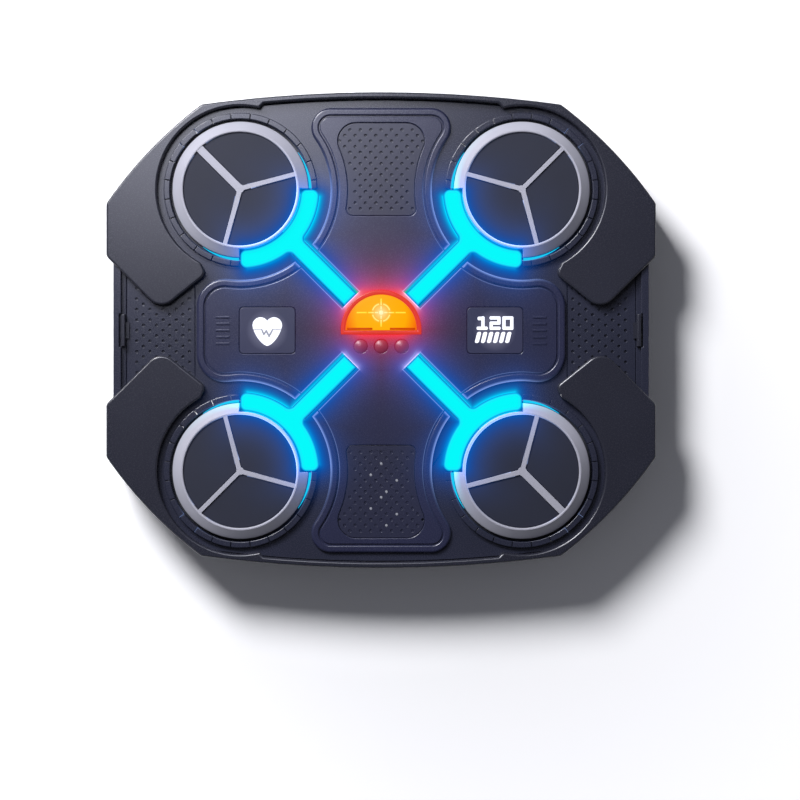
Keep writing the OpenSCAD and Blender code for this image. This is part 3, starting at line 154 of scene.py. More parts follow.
class StrikePadSizes(bpy.types.PropertyGroup):
    """Sizes of the rounded edges, the light guides and the printed signs"""

    guard_edge: length("Guard edge", "Rounding of the corner guards", 1.6)
    collar_edge: length("Collar edge", "Rounding of the guards round the pads", 1.6)
    shell_edge: length("Shell edge", "Rounding of the casing's moulded edges", 0.5)
    clip_edge: length("Clip edge", "Rounding of the grille clips", 0.9)
    trim_edge: length("Trim edge", "Rounding of segments, holes and slots", 0.25)
    ridge_edge: length("Ridge edge", "Rounding of the outer side of the face plate's ridge", 1.9)
    inner_edge: length("Inner ridge edge", "Rounding of the inner side of the face plate's ridge", 1.1)
    field_edge: length("Field edge", "Rounding of the face plate's field and panel openings", 0.65)
    pane_edge: length("Pane edge", "Rounding of the windows and their openings", 0.4)
    slot_edge: length("Slot edge", "Rounding of the slots of the light bars", 0.8)
    bezel_edge: length("Bezel edge", "Rounding of the red bezel", 0.9)
    guide_edge: length("Light guide edge", "Width of the rounded edge of the light guides", 1.8)
    guide_crown: length("Light guide crown", "Height of the rounded edge of the light guides", 2.0)
    sign_height: length("Sign height", "Height of the lit signs above their windows", 0.2)
    heart_width: length("Heart width", "Width of the heart sign", 21.0)
    pulse_width: length("Pulse line width", "Width of the pulse line across the heart", 1.3)
    digit_height: length("Digit height", "Height of the tempo digits", 9.6)
    cross_span: length("Target cross span", "Half length of the target's level line", 17.4)


class StrikePadColours(bpy.types.PropertyGroup):
    """Colours of the plastics, rubbers and lights"""

    casing: colour("Casing", "Moulded front casing, grilles and segmented rings", "#20222f")
    guard: colour("Guards", "Corner guards, clips and rear cover", "#1f2029")
    face: colour("Face plate", "Cross-shaped face plate and panels", "#202237")
    rubber: colour("Strike face", "Rubber of the strike faces", "#191c29")
    ring: colour("Strike ring", "Light grey ring and spokes", "#909098")
    guide: colour("Light guide", "Lit light guides, seen from above", "#03fbfb")
    guide_side: colour("Light guide side", "Light at the foot of the light guides", "#0480d4")
    lens: colour("Lens", "Lit target lens", "#fcaf04")
    bezel: colour("Bezel", "Lit red bezel", "#f0402e")
    sign: colour("Sign", "Lit signs and pin lights", "#f6f8ff")


def sizes():
    return bpy.context.scene.strikepad_sizes


def colours():
    return bpy.context.scene.strikepad_colours


def feed(tree, node, inputs):
    """Sets values on a node's inputs, or links them to sockets; a node stands for its first output."""
    for key, value in dict(inputs).items():
        if isinstance(value, bpy.types.Node):
            value = value.outputs[0]
        if isinstance(value, bpy.types.NodeSocket):
            tree.links.new(value, node.inputs[key])
        else:
            node.inputs[key].default_value = value


def add(tree, kind, inputs=(), stops=(), **settings):
    """Adds a node with its settings, the stops of its ramp, and values or links on its inputs."""
    new = tree.nodes.new("ShaderNode" + kind)
    for key, value in settings.items():
        setattr(new, key, value)
    if stops:
        for stop, (position, rgba) in zip(new.color_ramp.elements, (stops[0], stops[-1])):
            stop.position = position
            stop.color = rgba
        for position, rgba in stops[1:-1]:
            new.color_ramp.elements.new(position).color = rgba
    feed(tree, new, inputs)
    return new


def surface(name, fill):
    """Material of that name, made once. Its fill adds nodes to the tree and gives the shader's inputs."""
    material = bpy.data.materials.get(name)
    if material is None:
        material = bpy.data.materials.new(name)
        material.use_nodes = True
        tree = material.node_tree
        place = add(tree, "TexCoord").outputs["Object"]
        feed(tree, tree.nodes["Principled BSDF"], fill(tree, place))
    return material


def per(mm):
    """Pattern scale of a feature of that size."""
    return 1 / (mm * MM)


def shade(rgba, factor):
    """The same colour, lighter or darker."""
    return tuple(min(1.0, c * factor) for c in rgba[:3]) + (1.0,)


def more(name, *pairs):
    """Steps that add products to a value."""
    return tuple((name, "MULTIPLY_ADD", *pair, name) for pair in pairs)


def total(name, first, *others):
    """Steps of a sum of products."""
    return ((name, "MULTIPLY", *first), *more(name, *others))


def product(name, first, *others):
    """Steps of a product."""
    return tuple((name, "MULTIPLY", name if i else first, other) for i, other in enumerate(others))


def distance(name, one, two):
    """Steps of the distance that has those two parts."""
    return (*total(name, (one, one), (two, two)), (name, "SQRT", name))


def beyond(name, value, limit):
    """Steps of how far a value lies beyond a limit, or else nought."""
    return (name, "SUBTRACT", value, limit), (name, "MAXIMUM", name, 0.0)


def fade(name, away, reach):
    """Steps of a light that fades to about a third over that reach in mm."""
    return (name, "DIVIDE", away, -reach), (name, "EXPONENT", name)


# Each step names a value, its operation and its terms: earlier values or numbers. Lengths are in mm.
# The four light guides are mirror images, so that one quarter of the pad stands for all four.
# Painted LED light: glow, glints and shade worked out from where a surface lies and which way it faces
PAINTED_LED_STEPS = (
    ("level", "DIVIDE", "Y", MM),
    ("x", "ABSOLUTE", "X"),
    ("x", "DIVIDE", "x", MM),
    ("y", "ABSOLUTE", "level"),
    ("side_x", "SIGN", "X"),
    ("side_y", "SIGN", "Y"),
    ("lean_x", "MULTIPLY", "Normal X", "side_x"),
    ("lean_y", "MULTIPLY", "Normal Y", "side_y"),
    # Along and across the light bar, for the place and for the way it faces
    *total("along", ("x", BAR_X), ("y", BAR_Y)),
    *total("across", ("x", BAR_Y), ("y", -BAR_X)),
    *total("lean_along", ("lean_x", BAR_X), ("lean_y", BAR_Y)),
    *total("lean_across", ("lean_x", BAR_Y), ("lean_y", -BAR_X)),
    # Distance to the bar, and how far the surface above its slot is turned to it: a painted highlight on the
    # slot's edges
    ("aside", "ABSOLUTE", "across"),
    *beyond("aside", "aside", BAR_HALF),
    *beyond("before", BAR_START, "along"),
    *distance("to_bar", "aside", "before"),
    ("inward", "SIGN", "across"),
    *product("inward", "inward", "aside", "lean_across"),
    ("facing_bar", "MULTIPLY", "before", "lean_along"),
    ("facing_bar", "SUBTRACT", "facing_bar", "inward"),
    ("facing_bar", "DIVIDE", "facing_bar", "to_bar"),
    ("facing_bar", "MAXIMUM", "facing_bar", 0.0),
    ("sunk", "LESS_THAN", "Z", SLOT_TOP * MM),
    ("raised", "MULTIPLY_ADD", "sunk", -1.5, 1.5),
    *fade("lip", "to_bar", 3.5),
    *product("lip", "lip", "facing_bar", "raised"),
    # Distance to the bright part of the arc, and how far the surface is turned to the pad: painted glints on
    # edges that face the arc
    ("pad_x", "SUBTRACT", PAD_X, "x"),
    ("pad_y", "SUBTRACT", PAD_Y, "y"),
    *distance("from_pad", "pad_x", "pad_y"),
    ("outside", "SUBTRACT", "from_pad", ARC_OUT),
    ("within", "SUBTRACT", ARC_IN, "from_pad"),
    ("off_band", "MAXIMUM", "outside", "within"),
    ("off_band", "MAXIMUM", "off_band", 0.0),
    ("ahead", "SUBTRACT", PAD_D, "along"),
    ("turn", "ARCTAN2", "across", "ahead"),
    ("turn", "ABSOLUTE", "turn"),
    *beyond("turn", "turn", math.radians(GLOW_HALF)),
    ("past_end", "MULTIPLY", "turn", "from_pad"),
    *distance("to_arc", "off_band", "past_end"),
    *total("facing_pad", ("lean_x", "pad_x"), ("lean_y", "pad_y")),
    ("facing_pad", "DIVIDE", "facing_pad", "from_pad"),
    ("facing_pad", "MAXIMUM", "facing_pad", 0.0),
    *fade("glint", "to_arc", 12.0),
    *product("glint", "glint", 1.5, "facing_pad"),
    ("glint", "MAXIMUM", "glint", "lip"),
    # Painted light from the ends of the arc on the flank of the strike ring, where that is turned to the
    # upper left
    ("on_ring", "LESS_THAN", "from_pad", RING_OUT + 0.2),
    *fade("fading", "past_end", 13.0),
    ("to_left", "MULTIPLY", "pad_x", "side_x"),
    ("to_top", "MULTIPLY", "pad_y", "side_y"),
    ("to_left", "SUBTRACT", "to_left", "to_top"),
    ("to_left", "DIVIDE", "to_left", "from_pad"),
    ("to_left", "MAXIMUM", "to_left", 0.0),
    ("flank", "SUBTRACT", "from_pad", RING_MID),
    ("flank", "DIVIDE", "flank", RING_OUT - RING_MID),
    ("flank", "MAXIMUM", "flank", 0.0),
    *product("flank", "flank", "on_ring", "fading", "to_left"),
    # Distance to the nearest light guide, and to the lens
    *beyond("past_bar", "along", PAD_D - ARC_IN),
    ("to_guide", "ADD", "to_bar", "past_bar"),
    ("to_guide", "MINIMUM", "to_guide", "to_arc"),
    *beyond("lens_x", "x", LENS_HALF),
    ("lens_x", "MULTIPLY", "lens_x", LENS_TAPER),
    ("lens_y", "SUBTRACT", "level", LENS_Y),
    *distance("to_lens", "lens_x", "lens_y"),
    *beyond("to_lens", "to_lens", LENS_R),
    # Painted glow that fades with distance; no painted red light reaches the slots
    *fade("far_red", "to_lens", 11.5),
    *fade("near_red", "to_lens", 4.0),
    *fade("far_blue", "to_guide", 8.1),
    *fade("near_blue", "to_guide", 1.6),
    ("lit_red", "MULTIPLY", "near_blue", "sunk"),
    ("lit_red", "MULTIPLY_ADD", "lit_red", -2.0, 1.0),
    ("lit_red", "MAXIMUM", "lit_red", 0.0),
    # Painted glint at the end of a bar by the lens, in the light of both
    ("bar_end", "GREATER_THAN", "before", 0.1),
    ("bar_end", "MULTIPLY", "bar_end", "near_blue"),
    # Beside the guides the painted glow is brighter down in the slots than on the face, and most so on their
    # upper sides
    ("upper", "SIGN", "across"),
    ("upper", "MULTIPLY", "upper", "side_y"),
    ("upper", "MULTIPLY_ADD", "upper", -0.6, 1.0),
    ("sunk", "MULTIPLY", "sunk", "upper"),
    ("sunk", "MAXIMUM", "sunk", 0.2),
    ("near_blue", "MULTIPLY", "near_blue", "sunk"),
    # Colours of the painted light
    *total("red", ("far_red", 0.42), ("near_red", 0.42)),
    ("red", "MULTIPLY", "red", "lit_red"),
    *more("red", ("glint", 0.3), ("bar_end", 0.6)),
    *total("green", ("far_blue", 0.12), ("near_blue", 0.42)),
    *more("green", ("glint", 0.42), ("flank", 0.72), ("bar_end", 0.4)),
    *total("blue", ("far_blue", 0.63), ("near_blue", 0.3)),
    ("over_blue", "MULTIPLY_ADD", "near_red", -0.7, 1.0),
    ("blue", "MULTIPLY", "blue", "over_blue"),
    *more("blue", ("glint", 0.8), ("flank", 0.78), ("bar_end", 0.6)),
    # Painted shade: share of the surface's own colour and sheen that is kept beside the guides
    ("room", "DIVIDE", "to_guide", 9.0),
    *product("room", "room", "room"),
    ("room", "MULTIPLY", "room", -1.0),
    ("room", "EXPONENT", "room"),
    ("room", "SUBTRACT", 1.0, "room"),
)


def painted_led_light():
    """Painted LED light on the plastic next to the light guides and the target lens, as emission, with a
    painted shade beside the guides.
    """
    name = "painted_led_light"
    if name in bpy.data.node_groups:
        return bpy.data.node_groups[name]
    tree = bpy.data.node_groups.new(name, "ShaderNodeTree")
    tree.interface.new_socket("Light", in_out="OUTPUT", socket_type="NodeSocketColor")
    tree.interface.new_socket("Painted_dim", in_out="OUTPUT", socket_type="NodeSocketFloat")
    place = add(tree, "SeparateXYZ", {0: add(tree, "TexCoord").outputs["Object"]})
    normal = add(tree, "SeparateXYZ", {0: add(tree, "NewGeometry").outputs["Normal"]})
    known = {axis: place.outputs[axis] for axis in "XYZ"}
    known.update({"Normal " + axis: normal.outputs[axis] for axis in "XYZ"})
    for step, operation, *terms in PAINTED_LED_STEPS:
        inputs = {i: known.get(term, term) for i, term in enumerate(terms)}
        known[step] = add(tree, "Math", inputs, operation=operation).outputs[0]
    light = add(tree, "CombineColor", {"Red": known["red"], "Green": known["green"], "Blue": known["blue"]})
    feed(tree, tree.nodes.new("NodeGroupOutput"), {"Light": light, "Painted_dim": known["room"]})
    return tree


def moulded(name, rgba, grain, depth, rough, lit=0.0, ior=1.53, painted_dimming=True):
    """Moulded plastic: grain in mm from the eroded tool, slow drift of tone, satin gloss.

    Where lit is given, it shows painted LED light as emission, and where asked, a painted shade that darkens
    its colour and sheen beside the guides."""

    def fill(tree, place):
        drift = add(tree, "TexNoise", {"Vector": place, "Scale": per(45), "Detail": 2.0})
        tone = add(tree, "ValToRGB", {"Fac": drift}, ((0.3, shade(rgba, 0.93)), (0.7, shade(rgba, 1.07))))
        pits = add(tree, "TexNoise", {"Vector": place, "Scale": per(grain), "Detail": 3.0, "Roughness": 0.6})
        spread = {"From Min": 0.3, "From Max": 0.7, "To Min": rough - 0.015, "To Max": rough + 0.015}
        gloss = add(tree, "MapRange", {"Value": pits, **spread})
        bump = add(tree, "Bump", {"Height": pits, "Strength": 0.5, "Distance": depth * MM})
        inputs = {"Base Color": tone, "Roughness": gloss, "Normal": bump, "IOR": ior}
        if lit:
            painted_light = add(tree, "Group", node_tree=painted_led_light())
            inputs.update({"Emission Color": painted_light.outputs["Light"], "Emission Strength": lit})
            if painted_dimming:
                room = painted_light.outputs["Painted_dim"]
                dim = add(tree, "Mix", {"Factor": room, 6: shade(rgba, 0.1), 7: tone}, data_type="RGBA")
                sheen = add(tree, "Math", {0: room, 1: 0.5}, operation="MULTIPLY")
                inputs.update({"Base Color": dim.outputs[2], "Specular IOR Level": sheen})
        return inputs

    return surface(name, fill)


# The lit strength of each finish below sets how much painted LED light it shows
def casing_abs():
    """ABS, moulded in a spark-eroded tool: satin navy black with a fine grain."""
    return moulded("abs_spark_eroded_casing", colours().casing, 0.8, 0.002, 0.27, 1.0)


def guard_abs():
    """ABS of the guards, the same tool finish, clear of the LEDs."""
    return moulded("abs_spark_eroded_guard", colours().guard, 0.8, 0.002, 0.27)


def face_abs():
    """ABS of the face plate, with a finer grain: its ridge shows a crisp line of light."""
    return moulded("abs_satin_face_plate", colours().face, 0.7, 0.002, 0.27, 1.0)


def panel_abs():
    """ABS of the perforated panels: duller than the face plate, from its own tool insert."""
    return moulded("abs_dull_perforated", shade(colours().face, 0.75), 0.9, 0.004, 0.34, 0.6)


def carrier_abs():
    """Unseen ABS inside the casing, straight from a plain tool: dull dark grey."""
    return moulded("abs_plain_carrier", linear("#2a2b30"), 0.8, 0.01, 0.45, 1.0)


def ring_tpu():
    """TPU, moulded over the carrier: pale grey and softly glossy, with painted LED light on its flank by the
    arcs.
    """
    return moulded("tpu_moulded_ring", colours().ring, 0.6, 0.01, 0.5, 1.5, 1.45, False)


def strike_rubber():
    """Silicone rubber, moulded in a blasted tool: matt, and a shade bluer than the casing."""
    return moulded("silicone_blasted_strike_face", colours().rubber, 0.55, 0.03, 0.6, 1.0, 1.36)


def foot_rubber():
    """Nitrile rubber, moulded: nearly black, and matt with a fine tooth."""
    return moulded("nitrile_rubber_foot", linear("#1d1d20"), 0.5, 0.05, 0.75, 0.0, 1.52)


def button_silicone():
    """Silicone keys, moulded and sprayed dark: soft gloss, with painted red light from the lens beside them.
    """
    return moulded("silicone_sprayed_button", linear("#5c2834"), 0.5, 0.005, 0.36, 0.6, 1.43)


def speaker_paper():
    """Pressed paper cone: black pulp with fibres about 1 mm long."""
    return moulded("paper_pressed_cone", linear("#202022"), 1.0, 0.06, 0.85)


def battery_wrap():
    """PVC shrink wrap: smooth blue film with soft wrinkles."""
    return moulded("pvc_shrink_wrap", linear("#1f4f8f"), 6.0, 0.08, 0.3)


def foam_eva():
    """EVA foam, cut from sheet: open cells about 0.9 mm wide on a matt charcoal."""

    def fill(tree, place):
        cells = add(tree, "TexVoronoi", {"Vector": place, "Scale": per(0.9)})
        tone = add(tree, "ValToRGB", {"Fac": cells}, ((0.0, linear("#2a2b2f")), (1.0, linear("#50525a"))))
        bump = add(tree, "Bump", {"Height": cells, "Strength": 0.8, "Distance": 0.2 * MM})
        return {"Base Color": tone, "Normal": bump, "Roughness": 0.95}

    return surface("eva_foam_cut", fill)


def lit(base, glow, strength, rough, specular=0.5, ior=1.5):
    """Shader's inputs of what is lit from behind."""
    inputs = {"Base Color": linear(base), "Emission Color": glow, "Emission Strength": strength}
    return {**inputs, "Roughness": rough, "Specular IOR Level": specular, "IOR": ior}


def guide_acrylic():
    """Acrylic, frosted and lit from below: flat cyan on top, sliding to blue where its edge turns down."""

    def fill(tree, place):
        height = add(tree, "SeparateXYZ", {0: place}).outputs["Z"]
        foot_z = GUIDE_TOP - sizes().guide_crown
        share = add(tree, "MapRange", {"Value": height, "From Min": foot_z, "From Max": GUIDE_TOP})
        between = [(at, linear(c)) for at, c in ((0.4, "#0aa5e4"), (0.75, "#19cdf8"), (0.95, "#18ebfe"))]
        stops = [(0.0, colours().guide_side), *between, (1.0, colours().guide)]
        glow = add(tree, "ValToRGB", {"Fac": share}, stops)
        frost = add(tree, "TexNoise", {"Vector": place, "Scale": per(0.5), "Detail": 2.0})
        bump = add(tree, "Bump", {"Height": frost, "Strength": 0.3, "Distance": 0.01 * MM})
        return {"Normal": bump, **lit("#002a30", glow, 0.95, 0.45, 0.02, 1.49)}

    return surface("acrylic_frosted_lit_guide", fill)


def target_spot(tree, place, mm):
    """Light round the target, from one at its centre to nought at that reach."""
    scale = {"Location": (0.0, -TARGET_Y / mm, 0.0), "Scale": (per(mm), per(mm), 0.0)}
    at = add(tree, "Mapping", {"Vector": place, **scale})
    return add(tree, "TexGradient", {"Vector": at}, gradient_type="SPHERICAL").outputs["Fac"]


def lens_polycarbonate():
    """Polycarbonate, dyed amber and lit from behind: bright in the middle, deeper orange at the edge."""

    def fill(tree, place):
        low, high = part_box("target_lens")
        scale = {"Location": (0.0, -0.42, 0.0), "Scale": (1 / high.x, 1 / (high.y - low.y), 0.0)}
        at = add(tree, "Mapping", {"Vector": place, **scale})
        spread = add(tree, "TexGradient", {"Vector": at}, gradient_type="SPHERICAL")
        stops = (0.0, linear("#f4700a")), (0.3, colours().lens), (0.75, linear("#fdb60c"))
        glow = add(tree, "ValToRGB", {"Fac": spread.outputs["Fac"]}, stops)
        spot = add(tree, "Math", {0: target_spot(tree, place, 8.0), 1: 1.5}, operation="POWER")
        field = add(tree, "Mix", {"Factor": spot, 6: glow, 7: linear("#fff0a8")}, data_type="RGBA")
        return lit("#502000", field.outputs[2], 0.92, 0.3, 0.04, 1.58)

    return surface("polycarbonate_amber_lit_lens", fill)


def target_print():
    """Clear lines in the amber lens: pale yellow, where the LED shows straight through."""

    def fill(tree, place):
        stops = (0.0, linear("#ffdf40")), (0.92, linear("#fff6c0"))
        glow = add(tree, "ValToRGB", {"Fac": target_spot(tree, place, 9.0)}, stops)
        return lit("#503408", glow, 1.0, 0.3, 0.05, 1.58)

    return surface("polycarbonate_clear_lit_mark", fill)


def drifting(name, grain, detail, dim, bright, *about):
    """Plastic or print lit from behind, whose light drifts between two colours over that many mm."""

    def fill(tree, place):
        drift = add(tree, "TexNoise", {"Vector": place, "Scale": per(grain), "Detail": detail})
        glow = add(tree, "ValToRGB", {"Fac": drift}, ((0.0, dim), (1.0, bright)))
        base, *others = about
        return lit(base, glow, *others)

    return surface(name, fill)


def bezel_polycarbonate():
    """Polycarbonate, dyed red and lit from behind: glows at the edge next to the lens."""
    low, high = shade(colours().bezel, 0.85), shade(colours().bezel, 1.1)
    return drifting("polycarbonate_red_lit_bezel", 6, 2.0, low, high, "#5a0c0a", 0.72, 0.3, 0.25, 1.58)


def sill_polycarbonate():
    """Darker red-orange strips laid on the lens along its lower edge, lit from behind."""
    low, high = linear("#c43c02"), linear("#dc5204")
    return drifting("polycarbonate_amber_dark_sill", 7, 1.0, low, high, "#401000", 0.9, 0.3, 0.04)


def painted_glint_pins():
    """Pin tips that glow a small cold light: painted highlights where a few dimples glint."""
    low, high = shade(colours().sign, 0.1), shade(colours().sign, 0.22)
    return drifting("painted_pin_glint", 0.4, 2.0, low, high, "#5c5e68", 0.9, 0.5)


def sign_print():
    """Acrylic sign, lit from behind its window: even white light with a faint cold drift."""
    low, high = shade(colours().sign, 0.9), colours().sign
    return drifting("acrylic_white_lit_sign", 8, 1.0, low, high, "#9a9ca4", 0.95, 0.4, 0.5, 1.49)


def pulse_print():
    """Grey line printed across the lit heart: dims the white behind it."""
    low, high = linear("#6c6e78"), linear("#8c8e98")
    return drifting("ink_grey_pulse_line", 3, 1.0, low, high, "#55575f", 0.9, 0.6)


def window_acrylic():
    """Acrylic, smoked and polished: nearly black, glossy, with faint wiping marks, and a painted glow of its
    sign around it.
    """

    def fill(tree, place):
        wipe = add(tree, "TexNoise", {"Vector": place, "Scale": per(14), "Detail": 4.0})
        gloss = add(tree, "MapRange", {"Value": wipe, "To Min": 0.26, "To Max": 0.36})
        axes = add(tree, "SeparateXYZ", {0: place})
        aside = add(tree, "Math", {0: axes.outputs["X"]}, operation="ABSOLUTE")
        folded = add(tree, "CombineXYZ", {"X": aside, "Y": axes.outputs["Y"]})
        reach = 19 * MM
        scale = {"Location": (WINDOW.x / reach, 0.0, 0.0), "Scale": (1 / reach, 1 / reach, 0.0)}
        at = add(tree, "Mapping", {"Vector": folded, **scale})
        spread = add(tree, "TexGradient", {"Vector": at}, gradient_type="SPHERICAL")
        stops = (0.2, linear("#000000")), (0.5, linear("#484852"))
        painted_halo = add(tree, "ValToRGB", {"Fac": spread.outputs["Fac"]}, stops)
        return lit("#2a2c42", painted_halo, 1.0, gloss, ior=1.49)

    return surface("acrylic_smoked_window", fill)


def board_fr4():
    """FR4 board under green solder mask: copper tracks about 0.8 mm wide show through."""

    def fill(tree, place):
        greens = {"Color1": linear("#0f5a34"), "Color2": linear("#14683d"), "Mortar": linear("#2b8a55")}
        tracks = add(tree, "TexBrick", {"Vector": place, "Scale": per(14), "Mortar Size": 0.03, **greens})
        bump = {"Height": tracks.outputs["Fac"], "Strength": 0.4, "Distance": 0.03 * MM}
        return {"Base Color": tracks, "Normal": add(tree, "Bump", bump), "Roughness": 0.35}

    return surface("fr4_solder_mask", fill)


def steel(name, hex_colour, rough, streak):
    """Steel with fine drawn or turned marks of that width in mm."""

    def fill(tree, place):
        marks = add(tree, "TexNoise", {"Vector": place, "Scale": per(streak), "Detail": 3.0})
        gloss = add(tree, "MapRange", {"Value": marks, "To Min": rough - 0.1, "To Max": rough + 0.1})
        bump = add(tree, "Bump", {"Height": marks, "Strength": 0.3, "Distance": 0.01 * MM})
        return {"Base Color": linear(hex_colour), "Metallic": 1.0, "Roughness": gloss, "Normal": bump}

    return surface(name, fill)


def screw_steel():
    """Carbon steel, zinc plated: bright grey with a faint cloudy gloss."""
    return steel("steel_zinc_plated_screw", "#a9abb0", 0.38, 0.6)


def port_steel():
    """Stainless steel strip, drawn and folded: smooth with a soft sheen."""
    return steel("steel_drawn_port", "#b9bbbf", 0.3, 0.8)


def dress(node, material):
    """Gives a solid that stays as it is its finish."""
    piece = NODES[node]
    piece.data.materials.clear()
    piece.data.materials.append(material)


def new_object(name, shape, material):
    """New mesh object from a function that fills a bmesh."""
    mesh = bpy.data.meshes.new(name)
    build = bmesh.new()
    shape(build)
    bmesh.ops.recalc_face_normals(build, faces=build.faces)
    build.to_mesh(mesh)
    build.free()
    mesh.materials.append(material)
    mesh.shade_smooth()
    piece = bpy.data.objects.new(name, mesh)
    bpy.context.scene.collection.objects.link(piece)
    return piece


def new_piece(name, shape, material, body="casing"):
    """New piece of the part, with its finish and body."""
    piece = new_object(name, shape, material)
    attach(piece, body)
    return piece


def sharpen(piece, degrees=35):
    """Keeps the edges of a new piece that turn more than that sharp, and its flats flat."""
    piece.data.set_sharp_from_angle(angle=math.radians(degrees))
    normals = piece.modifiers.new("normals", "WEIGHTED_NORMAL")
    normals.keep_sharp = True


class Round(NamedTuple):
    """Rounding of a solid's outward edges at its top, or at and below a height, with a margin, in mm"""

    width: float
    steps: int
    which: object = None
    at: float = None
    below: float = 0.0
    around: float = 0.1


def refine(node, name, material, slot, *rounds, flat=0.4, crease=30, reshape=None):
    """New piece with the solid's own shape, whose outward edges are rounded as a moulding's are."""
    source = NODES[node].data

    def shape(build):
        corners = [build.verts.new(v.co) for v in source.vertices]
        for face in source.polygons:
            build.faces.new([corners[i] for i in face.vertices])
        bmesh.ops.remove_doubles(build, verts=build.verts, dist=0.005 * MM)
        if flat:
            turn = math.radians(flat)
            bmesh.ops.dissolve_limit(build, angle_limit=turn, verts=build.verts, edges=build.edges)
        bmesh.ops.recalc_face_normals(build, faces=build.faces)
        if reshape:
            reshape(build)
        for width, steps, which, at, below, around in rounds:
            level = top(node) if at is None else at
            low, high = (level - below - around) * MM, (level + around) * MM
            edges = [
                e
                for e in build.edges
                if e.is_manifold
                and e.calc_face_angle_signed() > math.radians(crease)
                and all(low <= v.co.z <= high for v in e.verts)
                and (which is None or which(e))
            ]
            how = {"offset_type": "OFFSET", "profile": 0.5, "affect": "EDGES", "loop_slide": True}
            bmesh.ops.bevel(build, geom=edges, offset=width, segments=steps, clamp_overlap=False, **how)

    piece = new_piece(name, shape, material, NODES[node]["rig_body"])
    sharpen(piece, 30)
    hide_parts(node)
    return piece


def deep(edge):
    """Whether the wall below an edge reaches 2 mm down."""
    height = min(v.co.z for v in edge.verts)
    return any(v.co.z < height - 2 * MM for face in edge.link_faces for v in face.verts)


def round_pad(edge):
    """Whether an edge runs round a pad, as the inner edge of a guard does."""
    reaches = [math.hypot(abs(v.co.x) - PAD.x, abs(v.co.y) - PAD.y) for v in edge.verts]
    return all(abs(reach - COLLAR_R * MM) < 0.8 * MM for reach in reaches)


def on_slot(edge):
    """Whether an edge lies along the slot of a light bar."""
    offsets = [abs(abs(v.co.x) - abs(v.co.y)) / math.sqrt(2) for v in edge.verts]
    return all(abs(offset - SLOT_HALF * MM) < 0.05 * MM for offset in offsets)


def zone(x_low, x_high, y_low, y_high):
    """Test of whether an edge lies between those distances from the two middle lines, in mm."""

    def inside(edge):
        plan = [(abs(v.co.x) / MM, abs(v.co.y) / MM) for v in edge.verts]
        return all(x_low < x < x_high and y_low < y < y_high for x, y in plan)

    return inside


# Openings of the perforated panels and of the windows, and the ribs between a window and the side
by_panel = zone(-1, 45, 60, 200)
by_window = zone(-WINDOW.x / MM - 23, -WINDOW.x / MM + 23, -1, 19)
on_rib = zone(105, 120, -1, 14)


def dimples(node, depth):
    """Reshaping that floors each small hole so many mm below the top, so that it reads as a dimple."""
    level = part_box(node)[1].z
    widest = 1.5 * MM

    def reshape(build):
        rims = {}
        for edge in build.edges:
            upright = any(abs(face.normal.z) < 0.1 for face in edge.link_faces)
            if upright and all(abs(v.co.z - level) < 0.02 * MM for v in edge.verts):
                for here, there in (edge.verts, reversed(edge.verts)):
                    rims.setdefault(here, []).append(there)
        seen = set()
        for first in list(rims):
            ring, ahead = [], [first]
            while ahead:
                here = ahead.pop()
                if here not in seen:
                    seen.add(here)
                    ring.append(here)
                    ahead += rims[here]
            if len(ring) < 6:
                continue
            centre = sum((v.co for v in ring), Vector()) / len(ring)
            if max((v.co - centre).length for v in ring) < widest:
                ring.sort(key=lambda v: math.atan2(v.co.y - centre.y, v.co.x - centre.x))
                build.faces.new([build.verts.new(v.co - Vector((0, 0, depth * MM))) for v in ring])

    return reshape


def evenly(first, last, steps):
    """Numbers from one to another in even steps."""
    return [first + (last - first) * i / steps for i in range(steps + 1)]


def arc(r, first, last, steps, u=0.0, v=0.0):
    """Points along an arc round a middle, from one turn to another."""
    return [(u + r * math.cos(turn), v + r * math.sin(turn)) for turn in evenly(first, last, steps)]


def circle(r, steps, u=0.0, v=0.0):
    """Points round a circle."""
    return arc(r, 0.0, 2 * math.pi, steps, u, v)[:-1]


def skin(build, near, ahead):
    """Faces between two rings of corners."""
    for i, corner in enumerate(near):
        k = (i + 1) % len(near)
        build.faces.new((corner, near[k], ahead[k], ahead[i]))


def lathe(build, profile, centre, steps=96):
    """Turns a closed profile of (radius, height) round an upright axis."""
    rings = []
    for c, s in circle(1.0, steps):
        rings.append([build.verts.new((centre.x + r * c, centre.y + r * s, z)) for r, z in profile])
    for near, ahead in zip(rings, rings[1:] + rings[:1]):
        skin(build, near, ahead)


def prism(build, outline, low, high):
    """Upright plate on an outline of (x, y), between two heights that are numbers or functions of x and y."""
    rows = []
    for level in (low, high):
        heights = [level(x, y) if callable(level) else level for x, y in outline]
        rows.append([build.verts.new((x, y, z)) for (x, y), z in zip(outline, heights)])
        build.faces.new(rows[-1])
    skin(build, *rows)


def strip_plate(build, columns, low, high):
    """Plate made of upright columns (x, bottom y, top y), so that any sign that is a graph stays clean."""
    rows = []
    for x, y0, y1 in columns:
        rows.append([build.verts.new((x, y, z)) for y, z in ((y0, low), (y0, high), (y1, high), (y1, low))])
    for near, ahead in zip(rows, rows[1:]):
        skin(build, near, ahead)
    for end in (rows[0], rows[-1]):
        build.faces.new(end)


